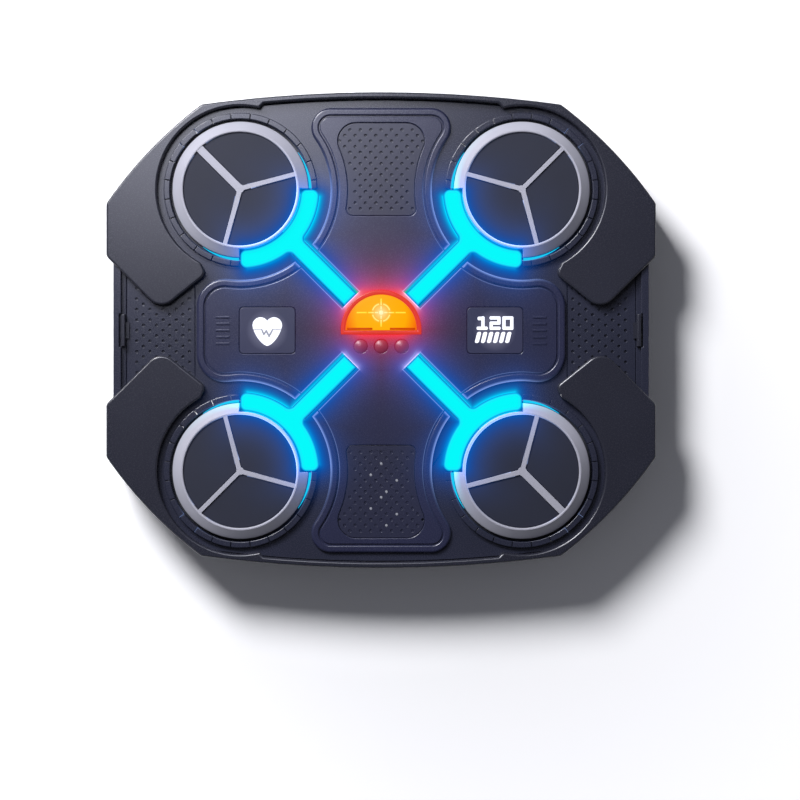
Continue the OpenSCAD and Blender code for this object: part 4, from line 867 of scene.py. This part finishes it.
class STRIKEPAD_OT_casing(bpy.types.Operator):
    """Finishes the shells, guards, clips and feet"""

    bl_idname = "strikepad.casing"
    bl_label = "Casing"

    # How far the rounded edges of the front shell reach down from its top, in mm
    rails = 4.0

    def execute(self, context):
        edge = sizes()
        shell = edge.shell_edge
        refine("front_shell", "casing_front", casing_abs(), "casing_abs", Round(shell, 3, below=self.rails))
        refine("rear_cover", "casing_back", guard_abs(), "casing_abs", Round(shell, 3, at=foot("rear_cover")))
        for side in ("top", "bottom"):
            node = side + "_bumper"
            rounds = (
                Round(edge.collar_edge, 6, round_pad),
                Round(edge.guard_edge, 5, lambda e: not round_pad(e)),
                Round(shell, 3, at=foot(node)),
            )
            refine(node, side + "_guard", guard_abs(), "bumper_abs", *rounds)
        for side in ("left", "right"):
            refine(side + "_clip", side + "_grille_clip", guard_abs(), "clip_abs", Round(edge.clip_edge, 4))
        under = Round(shell, 3, at=foot("rubber_feet"))
        refine("rubber_feet", "rubber_foot_set", foot_rubber(), "foot_rubber", under)
        return {"FINISHED"}


class STRIKEPAD_OT_face(bpy.types.Operator):
    """Finishes the face plate, perforated panels, grilles, segment rings and windows"""

    bl_idname = "strikepad.face"
    bl_label = "Face"

    # Depths of the dimples, outer radius and height of a segmented band, and reach of the key openings, in mm
    depths = {"top_panel": 1.3, "bottom_panel": 0.5, "left_grille": 1.3, "right_grille": 1.3}
    band_out = 54.55
    band_height = 2.35
    keys_r = 28.0
    # The ledge outside a band, so far below its top, goes down to that height above its foot, in mm
    ledge_drop = 0.9
    groove_floor = 0.6

    def execute(self, context):
        edge = sizes()
        trim = Round(edge.trim_edge, 2)
        ridge = {"around": 0.05}
        plate = {"at": top("button_plate"), **ridge}
        rounds = (
            Round(edge.ridge_edge, 5, deep, **ridge),
            Round(edge.trim_edge, 2, on_rib, **ridge),
            Round(edge.inner_edge, 4, lambda e: not deep(e) and not on_rib(e), **ridge),
            Round(edge.slot_edge, 3, on_slot, **plate),
            Round(edge.field_edge, 3, lambda e: not deep(e) or by_panel(e), **plate),
            Round(edge.pane_edge, 3, by_window, **plate),
        )
        refine("face_plate", "face_cross", face_abs(), "face_abs", *rounds)
        for side in ("top", "bottom"):
            node = side + "_panel"
            holes = dimples(node, self.depths[node])
            refine(node, side + "_sound_panel", panel_abs(), "panel_abs", trim, reshape=holes)
        for side in ("left", "right"):
            node = side + "_grille"
            holes = dimples(node, self.depths[node])
            refine(node, side + "_sound_grille", casing_abs(), "grille_abs", trim, reshape=holes)
            pane = Round(edge.pane_edge, 3)
            refine(side + "_window", side + "_sign_window", window_acrylic(), "window_tint", pane)
        band = Round(edge.trim_edge, 2, below=self.band_height)
        for corner in CORNERS:
            node = "segment_ring_" + corner
            groove = self.sink(corner)
            refine(node, "segment_band_" + corner, casing_abs(), "segment_abs", band, reshape=groove)
        keys = Round(edge.shell_edge, 3, lambda e: e.verts[0].co.xy.length < self.keys_r * MM)
        refine("button_plate", "key_plate", face_abs(), "face_abs", keys)
        return {"FINISHED"}

    def sink(self, corner):
        """Reshaping that sinks the ledge around a segmented band into a dark groove."""
        sx, sy = CORNERS[corner]
        low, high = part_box("segment_ring_" + corner)

        def reshape(build):
            for v in build.verts:
                reach = math.hypot(v.co.x - PAD.x * sx, v.co.y - PAD.y * sy)
                if reach > self.band_out * MM and v.co.z < high.z - self.ledge_drop * MM:
                    v.co.z = min(v.co.z, low.z + self.groove_floor * MM)

        return reshape


class STRIKEPAD_OT_pads(bpy.types.Operator):
    """Finishes the strike rings, strike faces and their carriers"""

    bl_idname = "strikepad.pads"
    bl_label = "Strike pads"

    # How far the rounded edges of a strike ring reach down from its top, in mm
    ring_height = 5.95
    # Spoke that points to the outer corner: how far each of its sides stands out from the solid's, in mm
    wider = {"tl": 0.5, "tr": -0.78, "bl": -0.78, "br": 0.35}
    # What moves with it: in full from so far out, up to so far beside it, fading, and not its middle, in mm
    full_from = 2.0
    beside = 8.0
    fading = 5.0
    core = 0.5

    def spoke(self, corner):
        """Reshaping that brings the outward spoke to its own width, with the strike face beside it."""
        sx, sy = CORNERS[corner]
        centre = Vector((PAD.x * sx, PAD.y * sy))
        outward = centre.normalized()
        sideways = outward.orthogonal()

        def reshape(build):
            for v in build.verts:
                place = v.co.xy - centre
                across = place.dot(sideways)
                near = min(max((self.beside * MM - abs(across)) / (self.fading * MM), 0.0), 1.0)
                out = min(max(place.dot(outward) / (self.full_from * MM), 0.0), 1.0)
                if abs(across) > self.core * MM:
                    v.co.xy += sideways * math.copysign(near * out, across) * self.wider[corner] * MM

        return reshape

    def execute(self, context):
        rim = Round(sizes().trim_edge, 2, below=self.ring_height)
        skin_edge = Round(sizes().shell_edge, 3)
        for corner in CORNERS:
            spoke = self.spoke(corner)
            node = "strike_ring_" + corner
            refine(node, "strike_rim_" + corner, ring_tpu(), "ring_tpu", rim, crease=18, reshape=spoke)
            node = "strike_face_" + corner
            refine(node, "strike_skin_" + corner, strike_rubber(), "face_rubber", skin_edge, reshape=spoke)
            dress("pad_carrier_" + corner, carrier_abs())
        return {"FINISHED"}


class STRIKEPAD_OT_foam(bpy.types.Operator):
    """Makes the foam return rings, which in use flatten as their pads are struck; these keep their shape"""

    bl_idname = "strikepad.foam"
    bl_label = "Foam return rings"

    ring_w = 8.0
    steps = 28
    # Powers that square off the round section, across and upright
    square_w = 0.45
    square_h = 0.28

    def execute(self, context):
        for corner in CORNERS:
            node = "foam_ring_" + corner
            low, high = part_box(node)
            centre = (low + high) / 2
            half_w, half_h = self.ring_w * MM / 2, (high.z - low.z) / 2
            middle_r = high.x - centre.x - half_w
            profile = []
            for i in range(self.steps):
                turn = 2 * math.pi * (i + 0.5) / self.steps
                c, s = math.cos(turn), math.sin(turn)
                r = middle_r + half_w * math.copysign(abs(c) ** self.square_w, c)
                profile.append((r, centre.z + half_h * math.copysign(abs(s) ** self.square_h, s)))
            piece = new_piece(
                "foam_return_ring_" + corner,
                lambda build, p=profile, at=centre: lathe(build, p, at),
                foam_eva(),
            )
            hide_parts(node)
            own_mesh(piece)
        return {"FINISHED"}


class STRIKEPAD_OT_lights(bpy.types.Operator):
    """Makes the light guides with their softly rounded edges, and finishes the glowing pin tips, painted
    highlights on a few dimples
    """

    bl_idname = "strikepad.lights"
    bl_label = "Light guides"

    # Fillets where the bar meets the arc, and at the outer and inner corners of the arc's ends, in mm
    branch_r = 4.0
    out_r = 4.9
    in_r = 4.4
    # Fine groove just inside the rounded edge: distances from the edge, and depths, in mm
    groove = ((0.35, 0.0), (0.5, 0.16), (0.7, 0.16), (0.85, 0.0))
    # Thin tails beside the pad: inner radius, width and rise over the segments in mm, and end in degrees
    tail_in = 48.65
    tail_w = 1.9
    tail_rise = 0.6
    tail_end = 78.0

    def outline(self, sx, sy):
        """Plan of a light guide: bar from the middle, then the arc round its pad, with round ends."""
        half = math.radians(ARC_HALF)
        # Fillet between the bar's side and the outer arc, outside both
        fillet_v = BAR_HALF + self.branch_r
        fillet_u = PAD_D - math.sqrt((ARC_OUT + self.branch_r) ** 2 - fillet_v**2)
        meet = math.atan2(fillet_v, PAD_D - fillet_u)
        points = [(BAR_START, BAR_HALF), *arc(self.branch_r, -math.pi / 2, -meet, 8, fillet_u, fillet_v)]
        # Outer arc, its end with a wide and a narrow corner, and half of the inner arc
        out_mid, in_mid = ARC_OUT - self.out_r, ARC_IN + self.in_r
        out_end, in_end = half - self.out_r / out_mid, half - self.in_r / in_mid
        points += arc(ARC_OUT, math.pi - meet, math.pi - out_end, 24, PAD_D)[1:]
        corners = (out_mid, self.out_r, out_end, 0.0), (in_mid, self.in_r, in_end, math.pi / 2)
        for reach, r, end, past in corners:
            way = math.pi - end - past
            points += arc(r, way, way - math.pi / 2, 8, PAD_D - reach * math.cos(end), reach * math.sin(end))
        points += arc(ARC_IN, math.pi - in_end, math.pi, 24, PAD_D)
        points += [(u, -v) for u, v in reversed(points) if v > 1e-6]
        points = [p for p, q in zip(points, points[-1:] + points) if math.dist(p, q) > 0.05]
        return [((u * BAR_X - v * BAR_Y) * MM * sx, (u * BAR_Y + v * BAR_X) * MM * sy) for u, v in points]

    def shrink(self, outline, by):
        """Plan drawn in by that distance."""
        area = sum(x0 * y1 - x1 * y0 for (x0, y0), (x1, y1) in zip(outline, outline[1:] + outline[:1]))
        side = math.copysign(1, area)
        inner = []
        for i, here in enumerate(outline):
            back, ahead = outline[i - 1], outline[(i + 1) % len(outline)]
            one = Vector((here[0] - back[0], here[1] - back[1])).normalized().orthogonal() * side
            two = Vector((ahead[0] - here[0], ahead[1] - here[1])).normalized().orthogonal() * side
            step = (one + two) * by / (1 + one.dot(two))
            inner.append((here[0] + step.x, here[1] + step.y))
        return inner

    def make_guide(self, build, corner):
        sx, sy = CORNERS[corner]
        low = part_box("light_guide_" + corner)[0].z
        edge, crown = sizes().guide_edge, sizes().guide_crown
        outline = self.outline(sx, sy)
        # Rings from the foot in: the rounded edge, then the groove
        rings = [(0.0, low)] + [(edge * i / 6, GUIDE_TOP - crown * (1 - i / 6) ** 2) for i in range(7)]
        rings += [(edge + d * MM, GUIDE_TOP - h * MM) for d, h in self.groove]
        rows = [[build.verts.new((x, y, z)) for x, y in self.shrink(outline, by)] for by, z in rings]
        for near, ahead in zip(rows, rows[1:]):
            skin(build, near, ahead)
        build.faces.new(rows[0])
        build.faces.new(rows[-1])
        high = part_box("segment_ring_" + corner)[1].z + self.tail_rise * MM
        centre = (PAD.x * sx, PAD.y * sy)
        inward = math.atan2(-centre[1], -centre[0])
        first, last = math.radians(ARC_HALF + 1.0), math.radians(self.tail_end)
        for side in (-1, 1):
            rows = [], []
            for share in evenly(0.0, 1.0, 24):
                turn = inward + side * (first + (last - first) * share)
                wide = self.tail_w * (1 - 0.9 * share**1.3)
                for row, r in zip(rows, (self.tail_in + wide, self.tail_in)):
                    row.append((centre[0] + r * MM * math.cos(turn), centre[1] + r * MM * math.sin(turn)))
            prism(build, rows[0] + rows[1][::-1], low, high)

    def execute(self, context):
        for corner in CORNERS:
            piece = new_piece(
                "lit_guide_" + corner,
                lambda build, c=corner: self.make_guide(build, c),
                guide_acrylic(),
            )
            sharpen(piece, 40)
            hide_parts("light_guide_" + corner)
        refine("pin_lights", "painted_glint_pin_set", painted_glint_pins(), "pin_white", Round(sizes().trim_edge, 2))
        return {"FINISHED"}


class STRIKEPAD_OT_target(bpy.types.Operator):
    """Finishes the lens, bezel and buttons, and makes the target marks on the lens"""

    bl_idname = "strikepad.target"
    bl_label = "Target and buttons"

    # How far the rounded edges of the lens and the buttons reach down from their tops, in mm
    lens_height = 3.55
    button_height = 1.95
    # Target marks, in mm: radii of dot and ring, half width of a line, and the parts of its two lines
    dot_r = 1.6
    ring_r = 6.2
    line_half = 0.5
    level_parts = ((2.2, 4.6), (5.2, 9.4))
    level_last = 10.2
    upright_parts = ((2.2, 4.6), (5.2, 10.0))
    # Degrees from a line to the ring's quarters
    ring_gap = 14
    # Sills of the lens, in mm: where they start, their width, and the room at the lens's lower edge and ends
    sill_from = 6.2
    sill_w = 1.5
    sill_low = 0.1
    sill_end = 1.2
    # How far the marks stand in the lens and above it, in mm
    mark_under = 0.1
    mark_over = 0.18

    def on_lens(self, build):
        """Maker of thin plates that lie on the crown of the lens, from points in mm round the target."""
        mesh = NODES["target_lens"].data
        crown = BVHTree.FromPolygons([v.co for v in mesh.vertices], [p.vertices for p in mesh.polygons])
        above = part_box("target_lens")[1].z + 5 * MM

        def lens(x, y, by):
            hit = crown.ray_cast(Vector((x, y, above)), Vector((0, 0, -1)))[0]
            if hit is None:
                raise RuntimeError("a target mark lies off the lens")
            return hit.z + by * MM

        def plate(points):
            outline = [(x * MM, (y + TARGET_Y) * MM) for x, y in points]
            under, over = -self.mark_under, self.mark_over
            prism(build, outline, lambda x, y: lens(x, y, under), lambda x, y: lens(x, y, over))

        return plate

    def make_sills(self, build):
        plate = self.on_lens(build)
        low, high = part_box("target_lens")
        y0 = low.y / MM - TARGET_Y + self.sill_low
        for side in (-1, 1):
            xs = [side * x for x in evenly(self.sill_from, high.x / MM - self.sill_end, 8)]
            plate([(x, y0) for x in xs] + [(x, y0 + self.sill_w) for x in reversed(xs)])

    def make_marks(self, build):
        plate = self.on_lens(build)
        plate(circle(self.dot_r, 24))
        h = self.line_half
        gap = math.radians(self.ring_gap)
        for quarter in range(4):
            first, last = math.pi / 2 * quarter + gap, math.pi / 2 * (quarter + 1) - gap
            plate(arc(self.ring_r + h, first, last, 16) + arc(self.ring_r - h, last, first, 16))
        for side in (-1, 1):
            for x0, x1 in (*self.level_parts, (self.level_last, sizes().cross_span / MM)):
                xs = [side * x for x in evenly(x0, x1, 6)]
                plate([(x, -h) for x in xs] + [(x, h) for x in reversed(xs)])
            for y0, y1 in self.upright_parts:
                ys = [side * y for y in evenly(y0, y1, 4)]
                plate([(h, y) for y in ys] + [(-h, y) for y in reversed(ys)])

    def execute(self, context):
        edge = sizes()
        lens = Round(edge.shell_edge, 3, below=self.lens_height)
        refine("target_lens", "amber_lens", lens_polycarbonate(), "lens_amber", lens, flat=0)
        bezel = Round(edge.bezel_edge, 4)
        refine("target_bezel", "red_bezel", bezel_polycarbonate(), "bezel_red", bezel)
        key = Round(edge.trim_edge, 2, below=self.button_height)
        for side in ("left", "middle", "right"):
            refine("button_" + side, "key_" + side, button_silicone(), "button_abs", key, flat=0)
        new_piece("target_marks", self.make_marks, target_print())
        new_piece("lens_sills", self.make_sills, sill_polycarbonate())
        return {"FINISHED"}


class STRIKEPAD_OT_signs(bpy.types.Operator):
    """Makes the lit heart, and the tempo digits over a row of slanted level bars"""

    bl_idname = "strikepad.signs"
    bl_label = "Lit signs"

    # Shape of the heart, with the powers of its lower curve, and points of its pulse line, as shares of the
    # heart's half width; then the heart's drop in mm
    lobe = 0.546
    lift = 0.42
    tip = -0.97
    flare = (1.55, 0.68)
    zig = [(-1.0, 0.12), (-0.38, 0.12), (-0.23, -0.18), (-0.07, 0.04)]
    zig += [(0.12, -0.31), (0.37, 0.12), (1.0, 0.12)]
    heart_drop = 0.8
    # How far a sign stands in its window, and half the thickness of the pulse line, in mm
    sunk = 0.1
    ink_half = 0.05
    # Segments of each digit: a top, b and c right, d bottom, e and f left, g middle, h stem, i flag;
    # then its width, stroke, gap and stem as shares of its height or width, and its rise in mm
    digits = {"0": "abcdef", "1": "dhi", "2": "abged"}
    wide_share = 0.82
    stroke_share = 0.24
    gap_share = 0.13
    stem_share = 0.42
    digit_rise = 0.4
    # Level bars: number, pitch, half width, lower and upper ends in mm, and slant
    bar_count = 6
    bar_pitch = 4.3
    bar_half = 1.45
    bar_ends = (-9.3, -1.5)
    bar_slant = 0.25

    def pulse(self, share):
        """Height and slope of the pulse line across the heart, as shares of its half width."""
        for (x0, y0), (x1, y1) in zip(self.zig, self.zig[1:]):
            if x0 <= share <= x1:
                slope = (y1 - y0) / (x1 - x0)
                return y0 + slope * (share - x0), slope
        raise RuntimeError("the pulse line ends short of the heart")

    def heart_edges(self, share):
        """Bottom and top of the heart there, as shares of its half width."""
        a = abs(share)
        above = self.lift + math.sqrt(max(0.0, self.lobe**2 - (a - 1 + self.lobe) ** 2))
        power, root = self.flare
        return self.lift - (self.lift - self.tip) * max(0.0, 1 - a**power) ** root, above

    def columns(self, edges):
        """Columns of a sign in the left window, from a function of the share of its half width."""
        half = sizes().heart_width / 2
        marks = sorted(set([x for x, y in self.zig] + [round(-1 + i / 40, 4) for i in range(81)]))
        found = [(half * share * 0.999, *[half * y for y in edges(share * 0.999)]) for share in marks]
        level = WINDOW.y - self.heart_drop * MM
        return [(WINDOW.x + x, level + y0, level + y1) for x, y0, y1 in found if y1 - y0 > 0.02 * MM]

    def heights(self):
        """Lowest and highest level of a sign."""
        return WINDOW_TOP - self.sunk * MM, WINDOW_TOP + sizes().sign_height

    def make_heart(self, build):
        strip_plate(build, self.columns(self.heart_edges), *self.heights())

    def make_pulse(self, build):
        line = sizes().pulse_width / sizes().heart_width

        def edges(share):
            height, slope = self.pulse(share)
            room = line * min(2.2, math.hypot(1, slope)) if slope else line / 2
            low, high = self.heart_edges(share)
            return max(height - room, low), min(height + room, high)

        level = self.heights()[1]
        strip_plate(build, self.columns(edges), level - self.ink_half * MM, level + self.ink_half * MM)

    def make_tempo(self, build):
        tall = sizes().digit_height
        wide = tall * self.wide_share
        stroke = tall * self.stroke_share
        base_x, base_y = -WINDOW.x, WINDOW.y + self.digit_rise * MM

        def bar(x0, y0, x1, y1, slant=0.0):
            cut = min(abs(x1 - x0), abs(y1 - y0)) * 0.25
            outline = [(x0 + cut, y0), (x1 - cut, y0), (x1, y0 + cut), (x1, y1 - cut)]
            outline += [(x1 - cut, y1), (x0 + cut, y1), (x0, y1 - cut), (x0, y0 + cut)]
            prism(build, [(base_x + x + slant * y, base_y + y) for x, y in outline], *self.heights())

        pitch = wide + tall * self.gap_share
        lower, upper = (tall - stroke) / 2, (tall + stroke) / 2
        for place, digit in enumerate("120"):
            x0 = (place - 1) * pitch - wide / 2
            x1 = x0 + wide
            stem = x0 + wide * self.stem_share
            bars = {
                "a": (x0, tall - stroke, x1, tall),
                "b": (x1 - stroke, lower, x1, tall),
                "c": (x1 - stroke, 0.0, x1, upper),
                "d": (x0, 0.0, x1, stroke),
                "e": (x0, 0.0, x0 + stroke, upper),
                "f": (x0, lower, x0 + stroke, tall),
                "g": (x0, lower, x1, upper),
                "h": (stem, 0.0, stem + stroke, tall),
                "i": (x0 + wide * 0.08, tall - stroke * 1.2, stem + stroke, tall - stroke * 0.1),
            }
            for segment in self.digits[digit]:
                bar(*bars[segment])
        half = self.bar_half * MM
        low, high = [end * MM for end in self.bar_ends]
        for i in range(self.bar_count):
            x = (i - (self.bar_count - 1) / 2) * self.bar_pitch * MM
            bar(x - half, low, x + half, high, slant=self.bar_slant)

    def execute(self, context):
        sharpen(new_piece("heart_sign", self.make_heart, sign_print()))
        sharpen(new_piece("pulse_line", self.make_pulse, pulse_print()))
        sharpen(new_piece("tempo_sign", self.make_tempo, sign_print()))
        return {"FINISHED"}


class STRIKEPAD_OT_fasteners(bpy.types.Operator):
    """Makes the cover screws with their cross recesses, and finishes the guard screws"""

    bl_idname = "strikepad.fasteners"
    bl_label = "Fasteners"

    # All in mm
    places = [(175, 62), (175, -62), (-175, 62), (-175, -62), (0, 149), (0, -149), (45, 0), (-45, 0)]
    head_r = 2.9
    head_t = 1.8
    shank_r = 1.5
    slot_half = 0.45
    slot_reach = 1.6
    slot_depth = 1.1
    # Draft of the recess, and corners round the screw
    slot_draft = 0.8
    steps = 48

    def make_screws(self, build):
        low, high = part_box("cover_screws")
        tall = (high.z - low.z) / MM
        head, shank = self.head_r, self.shank_r
        profile = [(head - 0.45, 0.0), (head - 0.15, 0.12), (head, 0.4), (head, self.head_t)]
        profile += [(shank, self.head_t), (shank, tall - 0.5), (shank - 0.5, tall)]
        w, far = self.slot_half, self.slot_reach
        cross = [(far, -w), (far, w), (w, w), (w, far), (-w, far), (-w, w)]
        cross += [(-x, -y) for x, y in cross]
        for x, y in self.places:

            def ring(points, z):
                return [build.verts.new(((x + px) * MM, (y + py) * MM, low.z + z * MM)) for px, py in points]

            turned = [ring(circle(r, self.steps), z) for r, z in profile]
            for near, ahead in zip(turned, turned[1:]):
                skin(build, near, ahead)
            build.faces.new(turned[-1])
            mouth = ring(cross, 0.0)
            seat = ring([(px * self.slot_draft, py * self.slot_draft) for px, py in cross], self.slot_depth)
            skin(build, mouth, seat)
            build.faces.new(seat)
            sides = [pair for row in (turned[0], mouth) for pair in zip(row, row[1:] + row[:1])]
            bmesh.ops.triangle_fill(build, edges=[build.edges.get(pair) for pair in sides], use_beauty=True)

    def execute(self, context):
        piece = new_piece("cover_screw_set", self.make_screws, screw_steel())
        sharpen(piece)
        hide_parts("cover_screws")
        dress("bumper_screws", screw_steel())
        return {"FINISHED"}


class STRIKEPAD_OT_electronics(bpy.types.Operator):
    """Finishes the boards, speakers, switches, battery and charging port"""

    bl_idname = "strikepad.electronics"
    bl_label = "Electronics"

    def execute(self, context):
        for place in ("control", "pin_light", "main", "charging"):
            dress(place + "_board", board_fr4())
        for node in ("led_boards", "display_boards", "impact_switches"):
            dress(node, board_fr4())
        for node in ("left_speaker", "right_speaker"):
            dress(node, speaker_paper())
        dress("battery_pack", battery_wrap())
        dress("charging_port", port_steel())
        return {"FINISHED"}


class STRIKEPAD_OT_stage(bpy.types.Operator):
    """Sets the pale floor, the soft studio light and the camera above the pad"""

    bl_idname = "strikepad.stage"
    bl_label = "Stage"

    # Camera and floor in metres, with the sensor and the floor's drop in mm
    camera_height = 1.5
    view_width = 0.5683
    view_centre = (0.0134, -0.0495)
    view_plane = 0.040
    sensor = 36.0
    floor_rings = (0.3, 0.6, 1.0, 1.5)
    floor_drop = 0.2
    # Name, place, size in metres, power in watts, tint, and whether it lights the object alone
    lamps = (
        ("key_softbox", (-0.78, 1.14, 1.12), 0.62, 43.0, "#fbfbff", False),
        ("sheen_softbox", (-0.22, 0.44, 0.90), 0.58, 6.3, "#eceeff", True),
        ("edge_softbox", (-1.15, 0.82, 0.95), 0.17, 6.6, "#f8f8ff", True),
    )
    lamp_aim = Vector((0, 0, 0.03))
    # World: pale up to the horizon and dark overhead, as heights of the way looked and linear colours
    sky = ((0.06, (0.92, 0.92, 0.94, 1)), (0.28, (0.066, 0.068, 0.08, 1)))

    def make_floor(self, build):
        steps = 64
        rows = [[build.verts.new((x, y, 0)) for x, y in circle(r, steps)] for r in self.floor_rings]
        build.faces.new(rows[0])
        for inner, outer in zip(rows, rows[1:]):
            skin(build, outer, inner)

    def paper(self, tree, place):
        """Matt white paper, whose tone in the view rises where the light falls off, clear of the shadow."""
        path = add(tree, "LightPath").outputs
        seen = add(tree, "Math", {0: path["Is Camera Ray"], 1: path["Is Glossy Ray"]}, operation="MAXIMUM")
        seen = add(tree, "Math", {0: seen, 1: path["Is Transmission Ray"]}, operation="MAXIMUM")
        scale = add(tree, "Mapping", {"Vector": place, "Scale": (1 / self.floor_rings[-1],) * 3})
        near = add(tree, "TexGradient", {"Vector": scale}, gradient_type="SPHERICAL").outputs["Fac"]
        tones = {"From Min": 0.7, "From Max": 0.83, "To Min": 1.8, "To Max": 1.32}
        white = add(tree, "MapRange", {"Value": near, **tones})
        tone = add(tree, "Mix", {"Factor": seen, 6: linear("#d8d9dc"), 7: white}, data_type="RGBA")
        matt = add(tree, "BsdfDiffuse", {"Color": tone.outputs[2]})
        feed(tree, tree.nodes["Material Output"], {"Surface": matt})
        return {}

    def floor(self):
        material = surface("paper_matt_floor", self.paper)
        tree = material.node_tree
        tree.nodes.remove(tree.nodes["Principled BSDF"])
        piece = new_object("floor", self.make_floor, material)
        piece.location.z = -self.floor_drop * MM

    def world(self):
        world = bpy.data.worlds.new("studio")
        world.use_nodes = True
        tree = world.node_tree
        way = add(tree, "SeparateXYZ", {0: add(tree, "TexCoord").outputs["Generated"]})
        ramp = add(tree, "ValToRGB", {"Fac": way.outputs["Z"]}, self.sky)
        feed(tree, tree.nodes["Background"], {"Color": ramp, "Strength": 1.0})
        bpy.context.scene.world = world

    def lamp(self, name, place, size, power, tint):
        data = bpy.data.lights.new(name, "AREA")
        data.shape = "DISK"
        data.size = size
        data.energy = power
        data.color = linear(tint)[:3]
        lamp = bpy.data.objects.new(name, data)
        lamp.location = place
        lamp.rotation_euler = (self.lamp_aim - Vector(place)).to_track_quat("-Z", "Y").to_euler()
        bpy.context.scene.collection.objects.link(lamp)
        return lamp

    def camera(self):
        data = bpy.data.cameras.new("camera")
        half = self.view_width / 2 / (self.camera_height - self.view_plane)
        data.sensor_width = self.sensor
        data.lens = self.sensor / 2 / half
        camera = bpy.data.objects.new("camera", data)
        camera.location = (*self.view_centre, self.camera_height)
        bpy.context.scene.collection.objects.link(camera)
        bpy.context.scene.camera = camera

    def execute(self, context):
        context.scene.view_settings.view_transform = "Standard"
        alone = bpy.data.collections.new("object_alone")
        for piece in context.scene.objects:
            if piece.type == "MESH":
                alone.objects.link(piece)
        self.floor()
        self.world()
        for *about, linked in self.lamps:
            lamp = self.lamp(*about)
            if linked:
                lamp.light_linking.receiver_collection = alone
        self.camera()
        return {"FINISHED"}


OPERATORS = (
    STRIKEPAD_OT_casing,
    STRIKEPAD_OT_face,
    STRIKEPAD_OT_pads,
    STRIKEPAD_OT_foam,
    STRIKEPAD_OT_lights,
    STRIKEPAD_OT_target,
    STRIKEPAD_OT_signs,
    STRIKEPAD_OT_fasteners,
    STRIKEPAD_OT_electronics,
    STRIKEPAD_OT_stage,
)


class STRIKEPAD_PT_panel(bpy.types.Panel):
    """Lists the steps that dress the strike pad"""

    bl_idname = "STRIKEPAD_PT_panel"
    bl_label = "Strike pad"
    bl_space_type = "VIEW_3D"
    bl_region_type = "UI"
    bl_category = "Strike pad"

    def draw(self, context):
        for group in (context.scene.strikepad_sizes, context.scene.strikepad_colours):
            for key in group.__annotations__:
                self.layout.prop(group, key)
        for step in OPERATORS:
            self.layout.operator(step.bl_idname)


CLASSES = (StrikePadSizes, StrikePadColours, *OPERATORS, STRIKEPAD_PT_panel)


def register():
    for cls in CLASSES:
        bpy.utils.register_class(cls)
    bpy.types.Scene.strikepad_sizes = PointerProperty(type=StrikePadSizes)
    bpy.types.Scene.strikepad_colours = PointerProperty(type=StrikePadColours)


def unregister():
    del bpy.types.Scene.strikepad_colours
    del bpy.types.Scene.strikepad_sizes
    for cls in reversed(CLASSES):
        bpy.utils.unregister_class(cls)


def main():
    register()
    for step in OPERATORS:
        getattr(bpy.ops.strikepad, step.bl_idname.split(".")[1])()


if __name__ == "__main__":
    main()
